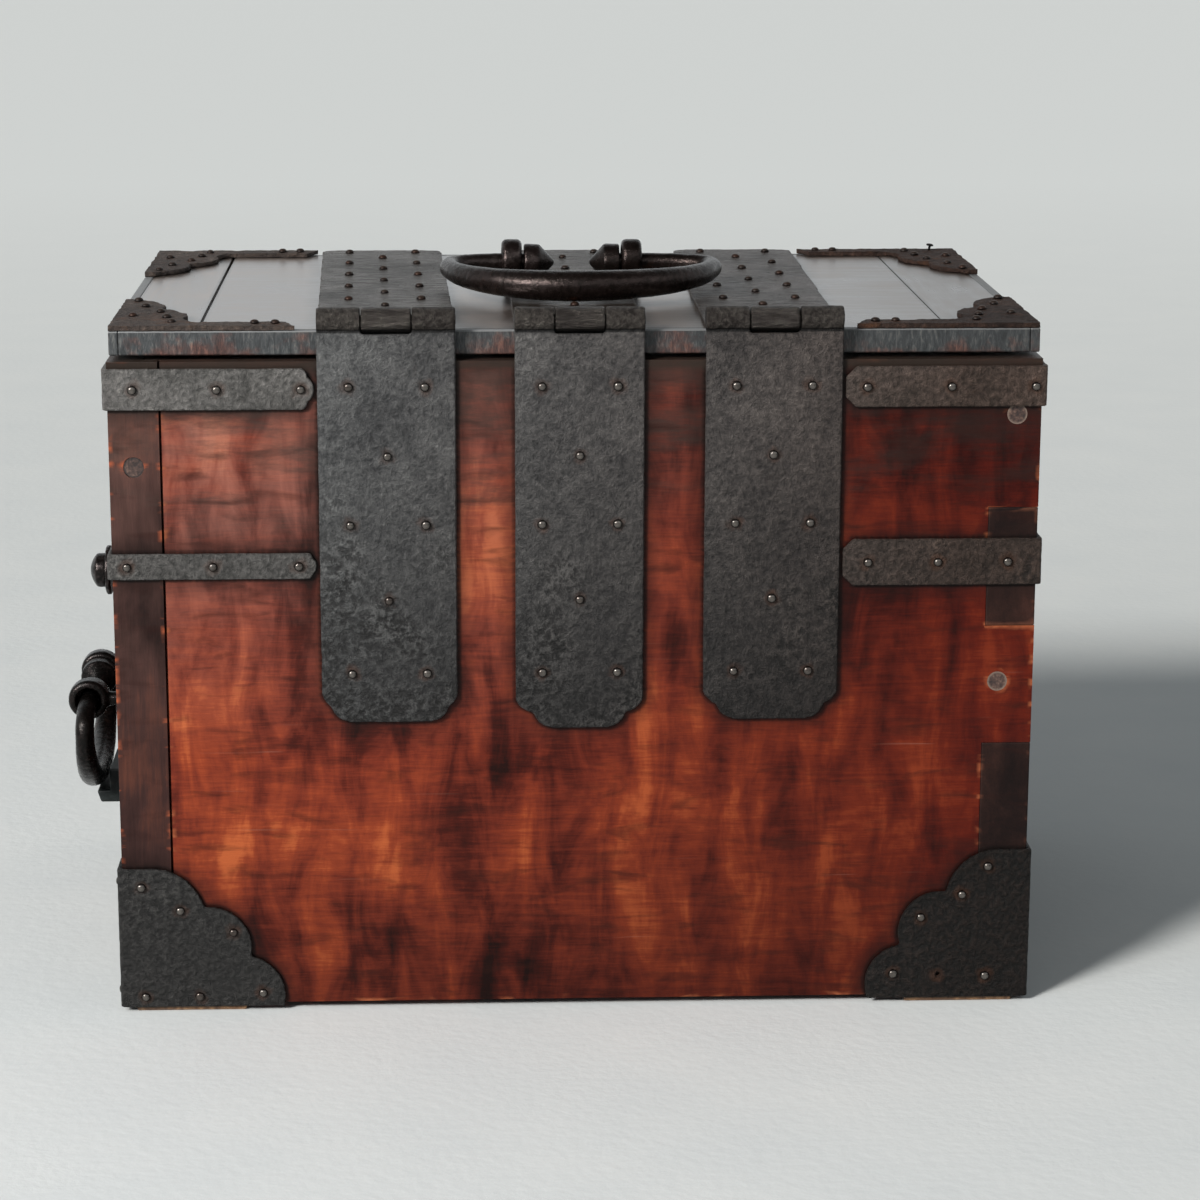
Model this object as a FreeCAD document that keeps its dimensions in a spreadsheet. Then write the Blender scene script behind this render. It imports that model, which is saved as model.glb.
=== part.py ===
import FreeCAD, Part
import math
import os

import Sketcher
from FreeCAD import Placement, Rotation, Vector

# A small iron-bound lidded chest. Frame: origin on the floor plane under the middle of the
# body, +X to the right and -Y towards a viewer who faces the hinge side, +Z up. Millimetres.

# ----------------------------------------------------------------------------------------
# Driving sizes
# ----------------------------------------------------------------------------------------

SIZES = {
    # wooden body
    "body_width": 480,
    "body_depth": 312,
    "body_height": 345,
    "end_board": 26,
    "face_board": 24,
    "bottom_board": 18,
    "finger_top": 78,
    "finger_pitch": 63.5,
    "shrink_gap": 1.2,
    "tongue_thick": 10,
    "tongue_reach": 7.3,
    "groove_slack": 0.3,
    "skid_height": 4,
    "skid_width": 58,
    "skid_inset": 6,
    "middle_skid_setback": 26,
    "plug_radius": 5.2,
    "plug_depth": 8,
    "plug_slack": 0.05,
    "left_plug_inset": 12.5,
    "left_plug_drop": 54.5,
    "upper_plug_inset": 12.5,
    "upper_plug_drop": 29,
    "lower_plug_inset": 18.7,
    "lower_plug_drop": 171.5,
    # lid
    "lid_gap": 2.5,
    "lid_thick": 12.5,
    "lid_hinge_setback": 5,
    "lid_lock_setback": 1,
    "lid_end_setback": 1,
    "lid_strip": 5,
    "left_cleat": 39.5,
    "right_cleat": 42,
    "left_cleat_gap": 1.4,
    "right_cleat_gap": 0.5,
    "cleat_tongue": 14,
    "cleat_tongue_thick": 4.2,
    "cleat_tongue_stop": 14,
    # strap hinges
    "leaf_thick": 3,
    "barrel_radius": 6.5,
    "barrel_proud": 2.5,
    "barrel_sink": 0.3,
    "barrel_relief": 0.6,
    "knuckle_middle": 25.5,
    "knuckle_gap": 0.4,
    "pin_radius": 2.6,
    "pin_slack": 0.05,
    "left_hinge_inset": 142.4,
    "middle_hinge_shift": 1.3,
    "right_hinge_inset": 138.8,
    "left_hinge_width": 71,
    "middle_hinge_width": 67,
    "right_hinge_width": 71,
    "left_leaf_drop": 190,
    "middle_leaf_drop": 194,
    "right_leaf_drop": 190,
    "left_cusp_inset": 4.8,
    "middle_cusp_inset": 9.5,
    "right_cusp_inset": 7.3,
    "cusp_rise": 8,
    "shoulder_rise": 15,
    "foot_run": 9,
    "foot_radius": 10,
    "shoulder_radius": 12,
    "left_leaf_drift": -8,
    "middle_leaf_drift": 0,
    "right_leaf_drift": 3,
    "lid_leaf_margin": 2,
    "lid_leaf_corner": 8,
    # nails
    "nail_head_radius": 2.7,
    "nail_head_height": 1.9,
    "nail_shank_radius": 1.1,
    "nail_length": 11,
    "nail_slack": 0.15,
    "leaf_nail_spread": 19.5,
    "leaf_nail_row_1": 13,
    "leaf_nail_row_2": 49,
    "leaf_nail_row_3": 85,
    "leaf_nail_row_4": 125,
    "leaf_nail_row_5": 164,
    "lid_nail_first": 50,
    "lid_nail_last": 12,
    # corner straps
    "strap_thick": 2.5,
    "strap_top_gap": 3.3,
    "strap_hinge_gap": 1.4,
    "strap_side_reach": 84,
    "upper_strap_height": 21.6,
    "middle_strap_level": 238.5,
    "left_middle_height": 14,
    "right_middle_height": 25,
    "strap_chamfer": 5.5,
    "upper_left_nail": 13,
    "upper_left_pitch": 42.8,
    "upper_right_nail": 3.6,
    "upper_right_pitch": 43.6,
    "middle_left_nail": 7.7,
    "middle_left_pitch": 44.2,
    "middle_right_nail": 15.5,
    "middle_right_pitch": 36.6,
    "side_nail": 24,
    "side_nail_pitch": 44,
    # scalloped plates at the foot of each corner
    "foot_plate_width": 84,
    "left_foot_plate_height": 77,
    "right_foot_plate_height": 83,
    "foot_plate_drop": 1.5,
    "foot_plate_flat": 12,
    "bend_radius": 1.6,
    # plates on the corners of the lid
    "lid_plate_thick": 3,
    "lid_plate_reach": 95,
    "lid_plate_side": 98,
    "lid_plate_arm": 14,
    # handles
    "eye_radius": 11.3,
    "eye_hole_radius": 7,
    "eye_width": 11.5,
    "eye_edge_radius": 3,
    "eye_post_radius": 4,
    "eye_post_slack": 0.2,
    "eye_spread": 66.5,
    "eye_washer_radius": 10,
    "eye_washer_thick": 1.6,
    "eye_clinch_radius": 6,
    "eye_clinch_height": 2,
    "bail_end_radius": 5.2,
    "bail_play": 0.15,
    "finial_radius": 10.3,
    "finial_barrel": 8.4,
    "finial_tip": 8.4,
    "finial_point_radius": 1,
    "finial_bore": 7,
    "finial_gap": 1,
    "top_handle_shift": 2.5,
    "top_eye_lift": 2.3,
    "top_bail_left": 67.5,
    "top_bail_right": 76.5,
    "top_bail_reach": 79.5,
    "top_bail_shoulder": 15,
    "top_grip_radius": 8.3,
    "top_bail_rest_gap": 1.2,
    "side_eye_standoff": 28.2,
    "side_eye_level": 139.7,
    "side_bail_half_width": 60,
    "side_bail_reach": 47.5,
    "side_bail_shoulder": 12,
    "side_grip_radius": 7.4,
    # block under the side handle
    "rest_width": 45,
    "rest_bottom": 76,
    "rest_height": 19.4,
    "rest_shelf": 19.5,
    "rest_lip": 28,
    "rest_lip_height": 10.5,
    "rest_undercut": 3.3,
    "rest_clearance": 0.5,
    # boss at the end of the left middle strap
    "boss_radius": 13,
    "boss_thick": 3,
    "boss_stud_radius": 9,
    "boss_stud_drum": 4.6,
    "boss_stud_height": 8.2,
    "boss_drop": 7,
    # chest lock inside the lock side
    "lock_width": 64,
    "lock_height": 44,
    "lock_depth": 16,
    "lock_wall": 1.6,
    "lock_drop": 6,
    "lock_slot": 12,
    "bolt_length": 34,
    "bolt_height": 7.5,
    "bolt_thick": 4,
    "bolt_level": 5,
    "bolt_throw": 12,
    "bolt_slack": 0.4,
    "catch_plate_width": 40,
    "catch_plate_thick": 2,
    "catch_tab_thick": 3,
    "catch_tab_width": 8,
    "catch_lip": 3,
    "catch_seat": 0.3,
    "keyplate_width": 52,
    "keyplate_height": 50,
    "keyplate_thick": 2,
    "keyplate_corner": 10,
    "key_radius": 4.2,
    "key_slot_width": 3.4,
    "key_slot_length": 11,
    "keyplate_nail_inset": 6,
}

# Shapes of scalloped edges, as shares of the plate's own width and height.
FOOT_CUSP_SHARES = ((0.51, 0.72), (0.80, 0.36))
FOOT_RADIUS_SHARES = (0.342, 0.274, 0.261)
LEFT_FOOT_NAIL_SHARES = ((0.12, 0.87), (0.36, 0.70), (0.69, 0.54), (0.13, 0.08), (0.47, 0.08), (0.87, 0.10))
RIGHT_FOOT_NAIL_SHARES = ((0.25, 0.89), (0.41, 0.70), (0.67, 0.55), (0.84, 0.17), (0.55, 0.16), (0.25, 0.15))
LID_CUSP_SHARES = ((0.40, 0.34), (0.24, 0.62))
LID_NAIL_SHARES = ((0.08, 0.92), (0.14, 0.70), (0.24, 0.50), (0.10, 0.36), (0.29, 0.30), (0.33, 0.13),
                   (0.78, 0.085), (0.89, 0.08))
# How far a strap's lobe reaches, and how high and how long its shoulders are, of its height.
LOBE_SHARES = (0.16, 0.2, 0.14)

doc = FreeCAD.newDocument("chest")
sheet = doc.addObject("Spreadsheet::Sheet", "Sizes")
for row, (alias, number) in enumerate(SIZES.items(), start=1):
    sheet.set("A%d" % row, alias)
    sheet.set("B%d" % row, str(number))
    sheet.setAlias("B%d" % row, alias)
doc.recompute()


class Size:
    """A length together with the spreadsheet expression that yields it."""

    def __init__(self, number, text):
        self.number = float(number)
        self.text = text

    def __add__(self, other):
        other = as_size(other)
        return Size(self.number + other.number, "(%s + %s)" % (self.text, other.text))

    def __sub__(self, other):
        other = as_size(other)
        return Size(self.number - other.number, "(%s - %s)" % (self.text, other.text))

    def __mul__(self, other):
        other = as_size(other)
        return Size(self.number * other.number, "(%s * %s)" % (self.text, other.text))

    def __truediv__(self, other):
        other = as_size(other)
        return Size(self.number / other.number, "(%s / %s)" % (self.text, other.text))

    def __neg__(self):
        return self * -1

    def __radd__(self, other):
        return as_size(other) + self

    def __rsub__(self, other):
        return as_size(other) - self

    def __rmul__(self, other):
        return as_size(other) * self

    def __float__(self):
        return self.number


def as_size(value):
    """Any number as a Size."""
    if isinstance(value, Size):
        return value
    return Size(value, "%.9g" % value)


class Sheet:
    """The spreadsheet's cells as attributes."""

    def __getattr__(self, alias):
        return Size(sheet.get(alias), "Sizes.%s" % alias)


S = Sheet()

# ----------------------------------------------------------------------------------------
# Levels and planes that several pieces share
# ----------------------------------------------------------------------------------------

HALF_WIDTH = S.body_width / 2
HINGE_FACE = -S.body_depth / 2
LOCK_FACE = S.body_depth / 2
WOOD_BOTTOM = S.skid_height
WOOD_TOP = WOOD_BOTTOM + S.body_height
LID_BOTTOM = WOOD_TOP + S.lid_gap
LID_TOP = LID_BOTTOM + S.lid_thick
LEAF_TOP = LID_TOP + S.leaf_thick
LID_FRONT = HINGE_FACE + S.lid_hinge_setback
LID_BACK = LOCK_FACE - S.lid_lock_setback
LID_MIDDLE = (LID_FRONT + LID_BACK) / 2
LID_HALF = HALF_WIDTH - S.lid_end_setback
CAVITY_HALF = HALF_WIDTH - S.end_board
CAVITY_BACK = LOCK_FACE - S.face_board
AXIS_Y = HINGE_FACE - S.leaf_thick - S.barrel_proud + S.barrel_radius
AXIS_Z = LID_TOP - S.barrel_sink + S.barrel_radius
TOP_EYE_Z = LEAF_TOP + S.top_eye_lift + S.eye_radius
SIDE_EYE_X = -HALF_WIDTH - S.side_eye_standoff
BAR_DROP = S.eye_hole_radius - S.bail_end_radius - S.bail_play

SIDES = {"left": -1, "right": 1}
FACES = {"hinge": -1, "lock": 1}
HINGES = ("left", "middle", "right")

NODES = {}

# ----------------------------------------------------------------------------------------
# Helpers
# ----------------------------------------------------------------------------------------


def named(prefix, name):
    """The Size whose alias is prefix_name."""
    return getattr(S, "%s_%s" % (prefix, name))


def bind(thing, prop, value):
    """Set a property to a Size and keep it tied to the spreadsheet."""
    thing.setExpression(prop, as_size(value).text)


def new_name(name):
    """A document name that is free."""
    count = 1
    while doc.getObject("%s_%d" % (name, count)):
        count += 1
    return "%s_%d" % (name, count)


def place(thing, x, y, z):
    """Tie an object's position to three Sizes."""
    bind(thing, ".Placement.Base.x", x)
    bind(thing, ".Placement.Base.y", y)
    bind(thing, ".Placement.Base.z", z)
    return thing


def box(x_span, y_span, z_span):
    """A block between two limits along each axis."""
    block = doc.addObject("Part::Box", new_name("block"))
    bind(block, "Length", x_span[1] - x_span[0])
    bind(block, "Width", y_span[1] - y_span[0])
    bind(block, "Height", z_span[1] - z_span[0])
    return place(block, x_span[0], y_span[0], z_span[0])


TURNS = {
    "+X": Rotation(Vector(0, 1, 0), 90),
    "-X": Rotation(Vector(0, 1, 0), -90),
    "+Y": Rotation(Vector(1, 0, 0), -90),
    "-Y": Rotation(Vector(1, 0, 0), 90),
    "+Z": Rotation(),
    "-Z": Rotation(Vector(1, 0, 0), 180),
}


def rod(x, y, z, direction, length, radius):
    """A round bar that starts at a point and runs along one axis."""
    bar = doc.addObject("Part::Cylinder", new_name("rod"))
    bar.Placement = Placement(Vector(), TURNS[direction])
    bind(bar, "Height", length)
    bind(bar, "Radius", radius)
    return place(bar, x, y, z)


def cone(x, y, z, direction, length, radius, end_radius):
    """A tapered bar that starts at a point and runs along one axis."""
    taper = doc.addObject("Part::Cone", new_name("cone"))
    taper.Placement = Placement(Vector(), TURNS[direction])
    bind(taper, "Height", length)
    bind(taper, "Radius1", radius)
    bind(taper, "Radius2", end_radius)
    return place(taper, x, y, z)


def fuse(pieces):
    """One solid from several that touch."""
    joined = doc.addObject("Part::MultiFuse", new_name("fuse"))
    joined.Shapes = pieces
    joined.Refine = True
    return joined


def cut(piece, tools):
    """A solid with others taken out of it."""
    result = doc.addObject("Part::Cut", new_name("cut"))
    result.Base = piece
    result.Tool = tools[0] if len(tools) == 1 else fuse(tools)
    return result


def node(name, thing):
    """Keep an object as a sub-part of the chest."""
    thing.Label = name
    NODES[name] = thing
    return thing


def group(name, pieces):
    """A sub-part made of several separate, alike solids."""
    bundle = doc.addObject("Part::Compound", new_name("group"))
    bundle.Links = pieces
    return node(name, bundle)


def sketch_on(body, plane, level):
    """A sketch parallel to one of the body's origin planes, at a level along its normal."""
    sketch = body.newObject("Sketcher::SketchObject", new_name("sketch"))
    base = [item for item in body.Origin.OriginFeatures if item.Role == plane + "_Plane"][0]
    sketch.AttachmentSupport = [(base, "")]
    sketch.MapMode = "FlatFace"
    toward = -as_size(level) if plane == "XZ" else as_size(level)
    bind(sketch, ".AttachmentOffset.Base.z", toward)
    return sketch


def tie_point(sketch, geometry, end, point):
    """Tie one end, or the centre, of a sketch edge to two Sizes."""
    for kind, value in zip(("DistanceX", "DistanceY"), point):
        rule = Sketcher.Constraint(kind, -1, 1, geometry, end, float(value))
        bind(sketch, "Constraints[%d]" % sketch.addConstraint(rule), value)


def bulge_point(start, end, radius, outward):
    """The middle of an arc between two points that bulges to the side asked for."""
    chord = end - start
    middle = (start + end) * 0.5
    half = chord.Length / 2
    rise = radius - math.sqrt(max(radius * radius - half * half, 0.0))
    side = Vector(chord.y, -chord.x, 0).normalize()
    return middle + side * (rise * outward)


def draw_outline(sketch, outline):
    """Draw a closed outline. Each entry is (x, y, radius): the corner, and the radius of the
    arc that leads to the next corner, None for a straight edge, negative for a hollow arc."""
    corners = [Vector(float(x), float(y), 0) for x, y, radius in outline]
    count = len(corners)
    area = sum(corners[i - 1].x * corners[i].y - corners[i].x * corners[i - 1].y for i in range(count))
    turn = 1 if area > 0 else -1
    ends = []
    for i in range(count):
        start = corners[i]
        end = corners[(i + 1) % count]
        radius = outline[i][2]
        if radius is None:
            geometry = sketch.addGeometry(Part.LineSegment(start, end), False)
        else:
            outward = turn if float(radius) > 0 else -turn
            middle = bulge_point(start, end, abs(float(radius)), outward)
            geometry = sketch.addGeometry(Part.Arc(start, middle, end), False)
            rule = Sketcher.Constraint("Radius", geometry, abs(float(radius)))
            size = as_size(radius) if float(radius) > 0 else -as_size(radius)
            bind(sketch, "Constraints[%d]" % sketch.addConstraint(rule), size)
        first = 1 if (sketch.getPoint(geometry, 1) - start).Length < 1e-6 else 2
        ends.append((geometry, first, 3 - first))
    for i in range(count):
        geometry, first, last = ends[i]
        following, following_first, following_last = ends[(i + 1) % count]
        tie_point(sketch, geometry, first, outline[i][:2])
        sketch.addConstraint(Sketcher.Constraint("Coincident", geometry, last, following, following_first))


def new_body(name):
    """An empty PartDesign body."""
    return doc.addObject("PartDesign::Body", new_name(name))


def add_plate(body, plane, span, outline):
    """Pad an outline between two levels along the plane's axis."""
    low, high = span
    sketch = sketch_on(body, plane, high if plane == "XZ" else low)
    draw_outline(sketch, outline)
    pad = body.newObject("PartDesign::Pad", new_name("pad"))
    pad.Profile = sketch
    bind(pad, "Length", as_size(high) - low)
    doc.recompute()
    return body


def drill(body, plane, level, depth, points, radius):
    """Round holes through a plate, centred on its plane and cut both ways."""
    sketch = sketch_on(body, plane, level)
    for point in points:
        centre = Vector(float(point[0]), float(point[1]), 0)
        circle = Part.Circle(centre, Vector(0, 0, 1), float(radius))
        geometry = sketch.addGeometry(circle, False)
        tie_point(sketch, geometry, 3, point)
        rule = Sketcher.Constraint("Radius", geometry, float(radius))
        bind(sketch, "Constraints[%d]" % sketch.addConstraint(rule), radius)
    pocket = body.newObject("PartDesign::Pocket", new_name("pocket"))
    pocket.Profile = sketch
    pocket.Midplane = True
    bind(pocket, "Length", 2 * as_size(depth))
    doc.recompute()
    return body


def round_edges(body, radius, wanted):
    """Fillet the body's edges that the test picks out."""
    doc.recompute()
    base = body.Tip
    edges = ["Edge%d" % (i + 1) for i, edge in enumerate(base.Shape.Edges) if wanted(edge)]
    fillet = body.newObject("PartDesign::Fillet", new_name("fillet"))
    fillet.Base = (base, edges)
    bind(fillet, "Radius", radius)
    doc.recompute()
    return body


def upright_at(x, y):
    """A test for the vertical edge at a corner."""

    def matches(edge):
        ends = [vertex.Point for vertex in edge.Vertexes]
        return all(abs(p.x - float(x)) < 1e-3 and abs(p.y - float(y)) < 1e-3 for p in ends)

    return matches


def rectangle(x_span, y_span):
    """A four-cornered outline."""
    return [
        (x_span[0], y_span[0], None),
        (x_span[1], y_span[0], None),
        (x_span[1], y_span[1], None),
        (x_span[0], y_span[1], None),
    ]


# ----------------------------------------------------------------------------------------
# Nails: domed head on the plate, shank driven into the wood
# ----------------------------------------------------------------------------------------

NAIL_HOLE = S.nail_shank_radius + S.nail_slack
INWARD = {
    "hinge": Rotation(Vector(1, 0, 0), 90),
    "lock": Rotation(Vector(1, 0, 0), -90),
    "left": Rotation(Vector(0, 1, 0), -90),
    "right": Rotation(Vector(0, 1, 0), 90),
    "top": Rotation(),
}
nail_spots = {}


def nail_shape():
    """One nail at the origin, its head's underside on the XY plane and the dome towards +Z."""
    head = float(S.nail_head_radius)
    rise = float(S.nail_head_height)
    sphere = (head * head + rise * rise) / (2 * rise)
    ball = Part.makeSphere(sphere, Vector(0, 0, rise - sphere))
    keep = Part.makeCylinder(2 * head, 2 * rise)
    shank = Part.makeCylinder(float(S.nail_shank_radius), float(S.nail_length), Vector(), Vector(0, 0, -1))
    return ball.common(keep).fuse(shank).removeSplitter()


def nail_at(kind, side, x, y, z):
    """Note a nail of one kind whose head sits at a point of the side it is driven into."""
    nail_spots.setdefault(kind, []).append((side, Vector(float(x), float(y), float(z))))


def make_nails():
    """Every kind of nail as a sub-part of separate solids."""
    master = nail_shape()
    for kind, spots in nail_spots.items():
        nails = []
        for side, point in spots:
            nail = master.copy()
            nail.Placement = Placement(point, INWARD[side])
            nails.append(nail)
        bundle = doc.addObject("Part::Feature", kind)
        bundle.Shape = Part.makeCompound(nails)
        node(kind, bundle)


# ----------------------------------------------------------------------------------------
# Wooden body: finger-jointed at the right, tongued into the left board
# ----------------------------------------------------------------------------------------


def finger_levels():
    """Heights at which the finger joint changes from one board to the other, top first."""
    return [WOOD_TOP - S.finger_top - S.finger_pitch * i for i in range(4)]


def plug_points(face):
    """Where the wooden plugs sit on a face, as (x, z, board)."""
    upper = HALF_WIDTH - S.upper_plug_inset
    lower = HALF_WIDTH - S.lower_plug_inset
    left = -HALF_WIDTH + S.left_plug_inset
    return [
        (left, WOOD_TOP - S.left_plug_drop, "left"),
        (upper, WOOD_TOP - S.upper_plug_drop, face),
        (lower, WOOD_TOP - S.lower_plug_drop, face),
    ]


def face_span(face, depth):
    """The Y span of a board of the given depth behind a face."""
    if face == "hinge":
        return (HINGE_FACE, HINGE_FACE + depth)
    return (LOCK_FACE - depth, LOCK_FACE)


def face_board(face):
    """A long board: fingers at its right end, a tongue at its left end."""
    left_end = -CAVITY_HALF + S.shrink_gap
    levels = finger_levels()
    outline = [(left_end, WOOD_BOTTOM, None), (HALF_WIDTH, WOOD_BOTTOM, None)]
    for i, level in enumerate(reversed(levels)):
        stops = (HALF_WIDTH, CAVITY_HALF) if i % 2 == 0 else (CAVITY_HALF, HALF_WIDTH)
        outline += [(stop, level, None) for stop in stops]
    outline += [(HALF_WIDTH, WOOD_TOP, None), (left_end, WOOD_TOP, None)]
    body = add_plate(new_body("face_board"), "XZ", face_span(face, S.face_board), outline)
    margin = (S.face_board - S.tongue_thick) / 2
    low, high = face_span(face, S.face_board)
    tongue = rectangle((-CAVITY_HALF - S.tongue_reach, left_end), (WOOD_BOTTOM, WOOD_TOP))
    add_plate(body, "XZ", (low + margin, high - margin), tongue)
    plane = HINGE_FACE if face == "hinge" else LOCK_FACE
    points = [(x, z) for x, z, board in plug_points(face) if board == face]
    drill(body, "XZ", plane, S.plug_depth, points, S.plug_radius + S.plug_slack)
    return body


def right_board():
    """The right end: its fingers fill the notches of the two long boards."""
    levels = finger_levels()
    hinge_inner = HINGE_FACE + S.face_board
    outline = [(hinge_inner, WOOD_BOTTOM, None), (CAVITY_BACK, WOOD_BOTTOM, None)]
    for i, level in enumerate(reversed(levels)):
        stops = (CAVITY_BACK, LOCK_FACE) if i % 2 == 0 else (LOCK_FACE, CAVITY_BACK)
        outline += [(stop, level, None) for stop in stops]
    outline += [(CAVITY_BACK, WOOD_TOP, None), (hinge_inner, WOOD_TOP, None)]
    for i, level in enumerate(levels):
        stops = (hinge_inner, HINGE_FACE) if i % 2 == 0 else (HINGE_FACE, hinge_inner)
        outline += [(stop, level, None) for stop in stops]
    return add_plate(new_body("right_board"), "YZ", (CAVITY_HALF, HALF_WIDTH), outline)


def left_board():
    """The left end: one board as deep as the body, grooved for the tongues and bored for the
    side handle's posts."""
    board = box((-HALF_WIDTH, -CAVITY_HALF), (HINGE_FACE, LOCK_FACE), (WOOD_BOTTOM, WOOD_TOP))
    tools = []
    groove = (-CAVITY_HALF - S.tongue_reach - S.groove_slack, -CAVITY_HALF)
    margin = (S.face_board - S.tongue_thick) / 2 - S.groove_slack / 2
    for face in FACES:
        low, high = face_span(face, S.face_board)
        tools.append(box(groove, (low + margin, high - margin), (WOOD_BOTTOM, WOOD_TOP)))
        for x, z, owner in plug_points(face):
            if owner == "left":
                start = HINGE_FACE if face == "hinge" else LOCK_FACE
                direction = "+Y" if face == "hinge" else "-Y"
                tools.append(rod(x, start, z, direction, S.plug_depth, S.plug_radius + S.plug_slack))
    for y in eye_places():
        hole = S.eye_post_radius + S.eye_post_slack
        tools.append(rod(-HALF_WIDTH, y, S.side_eye_level, "+X", S.end_board, hole))
    return cut(board, tools)


def bottom_board():
    """The bottom, set in between the four walls."""
    hinge_inner = HINGE_FACE + S.face_board
    z_span = (WOOD_BOTTOM, WOOD_BOTTOM + S.bottom_board)
    return box((-CAVITY_HALF, CAVITY_HALF), (hinge_inner, CAVITY_BACK), z_span)


def skids():
    """Thin battens under the bottom: one at each end, and a shorter one in the middle."""
    outer = HALF_WIDTH - S.skid_inset
    inner = outer - S.skid_width
    half = S.skid_width / 2
    z_span = (as_size(0), WOOD_BOTTOM)
    y_span = (HINGE_FACE, LOCK_FACE)
    short = (HINGE_FACE + S.middle_skid_setback, LOCK_FACE - S.middle_skid_setback)
    spans = (((-outer, -inner), y_span), ((-half, half), short), ((inner, outer), y_span))
    return [box(x_span, depth, z_span) for x_span, depth in spans]


def plugs():
    """Round wooden plugs flush with the faces."""
    pieces = []
    for face in FACES:
        start = HINGE_FACE if face == "hinge" else LOCK_FACE
        direction = "+Y" if face == "hinge" else "-Y"
        for x, z, owner in plug_points(face):
            pieces.append(rod(x, start, z, direction, S.plug_depth, S.plug_radius))
    return pieces


# ----------------------------------------------------------------------------------------
# Lid: a panel tongued into a cleat at each end, with thin strips round its four edges
# ----------------------------------------------------------------------------------------


LID_CORE = (LID_FRONT + S.lid_strip, LID_BACK - S.lid_strip)


def cleat_edge(side):
    """The X at which a cleat's inner edge lies."""
    return SIDES[side] * (LID_HALF - S.lid_strip - named(side, "cleat"))


def panel_edge(side):
    """The X at which the panel's shoulder lies."""
    return cleat_edge(side) - SIDES[side] * named(side, "cleat_gap")


def tongue_spans(extra):
    """The Y and Z spans of the panel's stopped tongue, or of its groove with some slack."""
    middle = (LID_BOTTOM + LID_TOP) / 2
    half = (S.cleat_tongue_thick + extra) / 2
    stop = S.cleat_tongue_stop - extra
    return ((LID_CORE[0] + stop, LID_CORE[1] - stop), (middle - half, middle + half))


def lid_panel():
    """The lid's wide board, with holes for the handle's posts."""
    edges = (panel_edge("left"), panel_edge("right"))
    board = box(edges, LID_CORE, (LID_BOTTOM, LID_TOP))
    reach = (cleat_edge("left") - S.cleat_tongue, cleat_edge("right") + S.cleat_tongue)
    tongue = box(reach, *tongue_spans(as_size(0)))
    holes = []
    for x in eye_places():
        hole = S.eye_post_radius + S.eye_post_slack
        holes.append(rod(x + S.top_handle_shift, LID_MIDDLE, LID_BOTTOM, "+Z", S.lid_thick, hole))
    return cut(fuse([board, tongue]), holes)


def lid_cleat(side):
    """A cleat across one end of the panel, grooved for its tongue."""
    inner = cleat_edge(side)
    outer = SIDES[side] * (LID_HALF - S.lid_strip)
    depth = inner + SIDES[side] * (S.cleat_tongue + S.groove_slack)
    spans = ((outer, inner), (depth, inner)) if side == "left" else ((inner, outer), (inner, depth))
    board = box(spans[0], LID_CORE, (LID_BOTTOM, LID_TOP))
    groove = box(spans[1], *tongue_spans(S.groove_slack))
    return cut(board, [groove])


def lid_strip(side):
    """A thin strip along the lid's end."""
    inner = SIDES[side] * (LID_HALF - S.lid_strip)
    outer = SIDES[side] * LID_HALF
    span = (outer, inner) if side == "left" else (inner, outer)
    return box(span, (LID_FRONT, LID_BACK), (LID_BOTTOM, LID_TOP))


def long_strip(face):
    """A thin strip along the lid's hinge or lock edge, between the end strips."""
    end = LID_HALF - S.lid_strip
    span = (LID_FRONT, LID_CORE[0]) if face == "hinge" else (LID_CORE[1], LID_BACK)
    return box((-end, end), span, (LID_BOTTOM, LID_TOP))


# ----------------------------------------------------------------------------------------
# Strap hinges: one leaf down the hinge face, one across the lid, three knuckles and a pin
# ----------------------------------------------------------------------------------------


def hinge_place(hinge):
    """The X of a hinge's middle."""
    if hinge == "middle":
        return S.middle_hinge_shift
    return SIDES[hinge] * (HALF_WIDTH - named(hinge, "hinge_inset"))


def hinge_edges(hinge):
    """The X of a hinge's left and right edge."""
    place_x = hinge_place(hinge)
    half = named(hinge, "hinge_width") / 2
    return (place_x - half, place_x + half)


def middle_knuckle_span(hinge):
    """The X span of the knuckle that belongs to the lid's leaf."""
    place_x = hinge_place(hinge)
    return (place_x - S.knuckle_middle / 2, place_x + S.knuckle_middle / 2)


def outer_knuckle_spans(hinge):
    """The X spans of the two knuckles that belong to the body's leaf."""
    left, right = hinge_edges(hinge)
    low, high = middle_knuckle_span(hinge)
    return [(left, low - S.knuckle_gap), (high + S.knuckle_gap, right)]


def knuckle(x_span):
    """A knuckle without its bore."""
    return rod(x_span[0], AXIS_Y, AXIS_Z, "+X", x_span[1] - x_span[0], S.barrel_radius)


def pin_bore(hinge):
    """The bore that the pin turns in."""
    left, right = hinge_edges(hinge)
    return rod(left, AXIS_Y, AXIS_Z, "+X", right - left, S.pin_radius + S.pin_slack)


def body_leaf_nails(hinge):
    """Nail places on the body's leaf: pairs, with one between."""
    place_x = hinge_place(hinge)
    points = []
    for row in range(1, 6):
        level = WOOD_TOP - named("leaf_nail_row", str(row))
        offsets = (-S.leaf_nail_spread, S.leaf_nail_spread) if row % 2 else (as_size(0),)
        points += [(place_x + offset, level) for offset in offsets]
    return points


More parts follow.
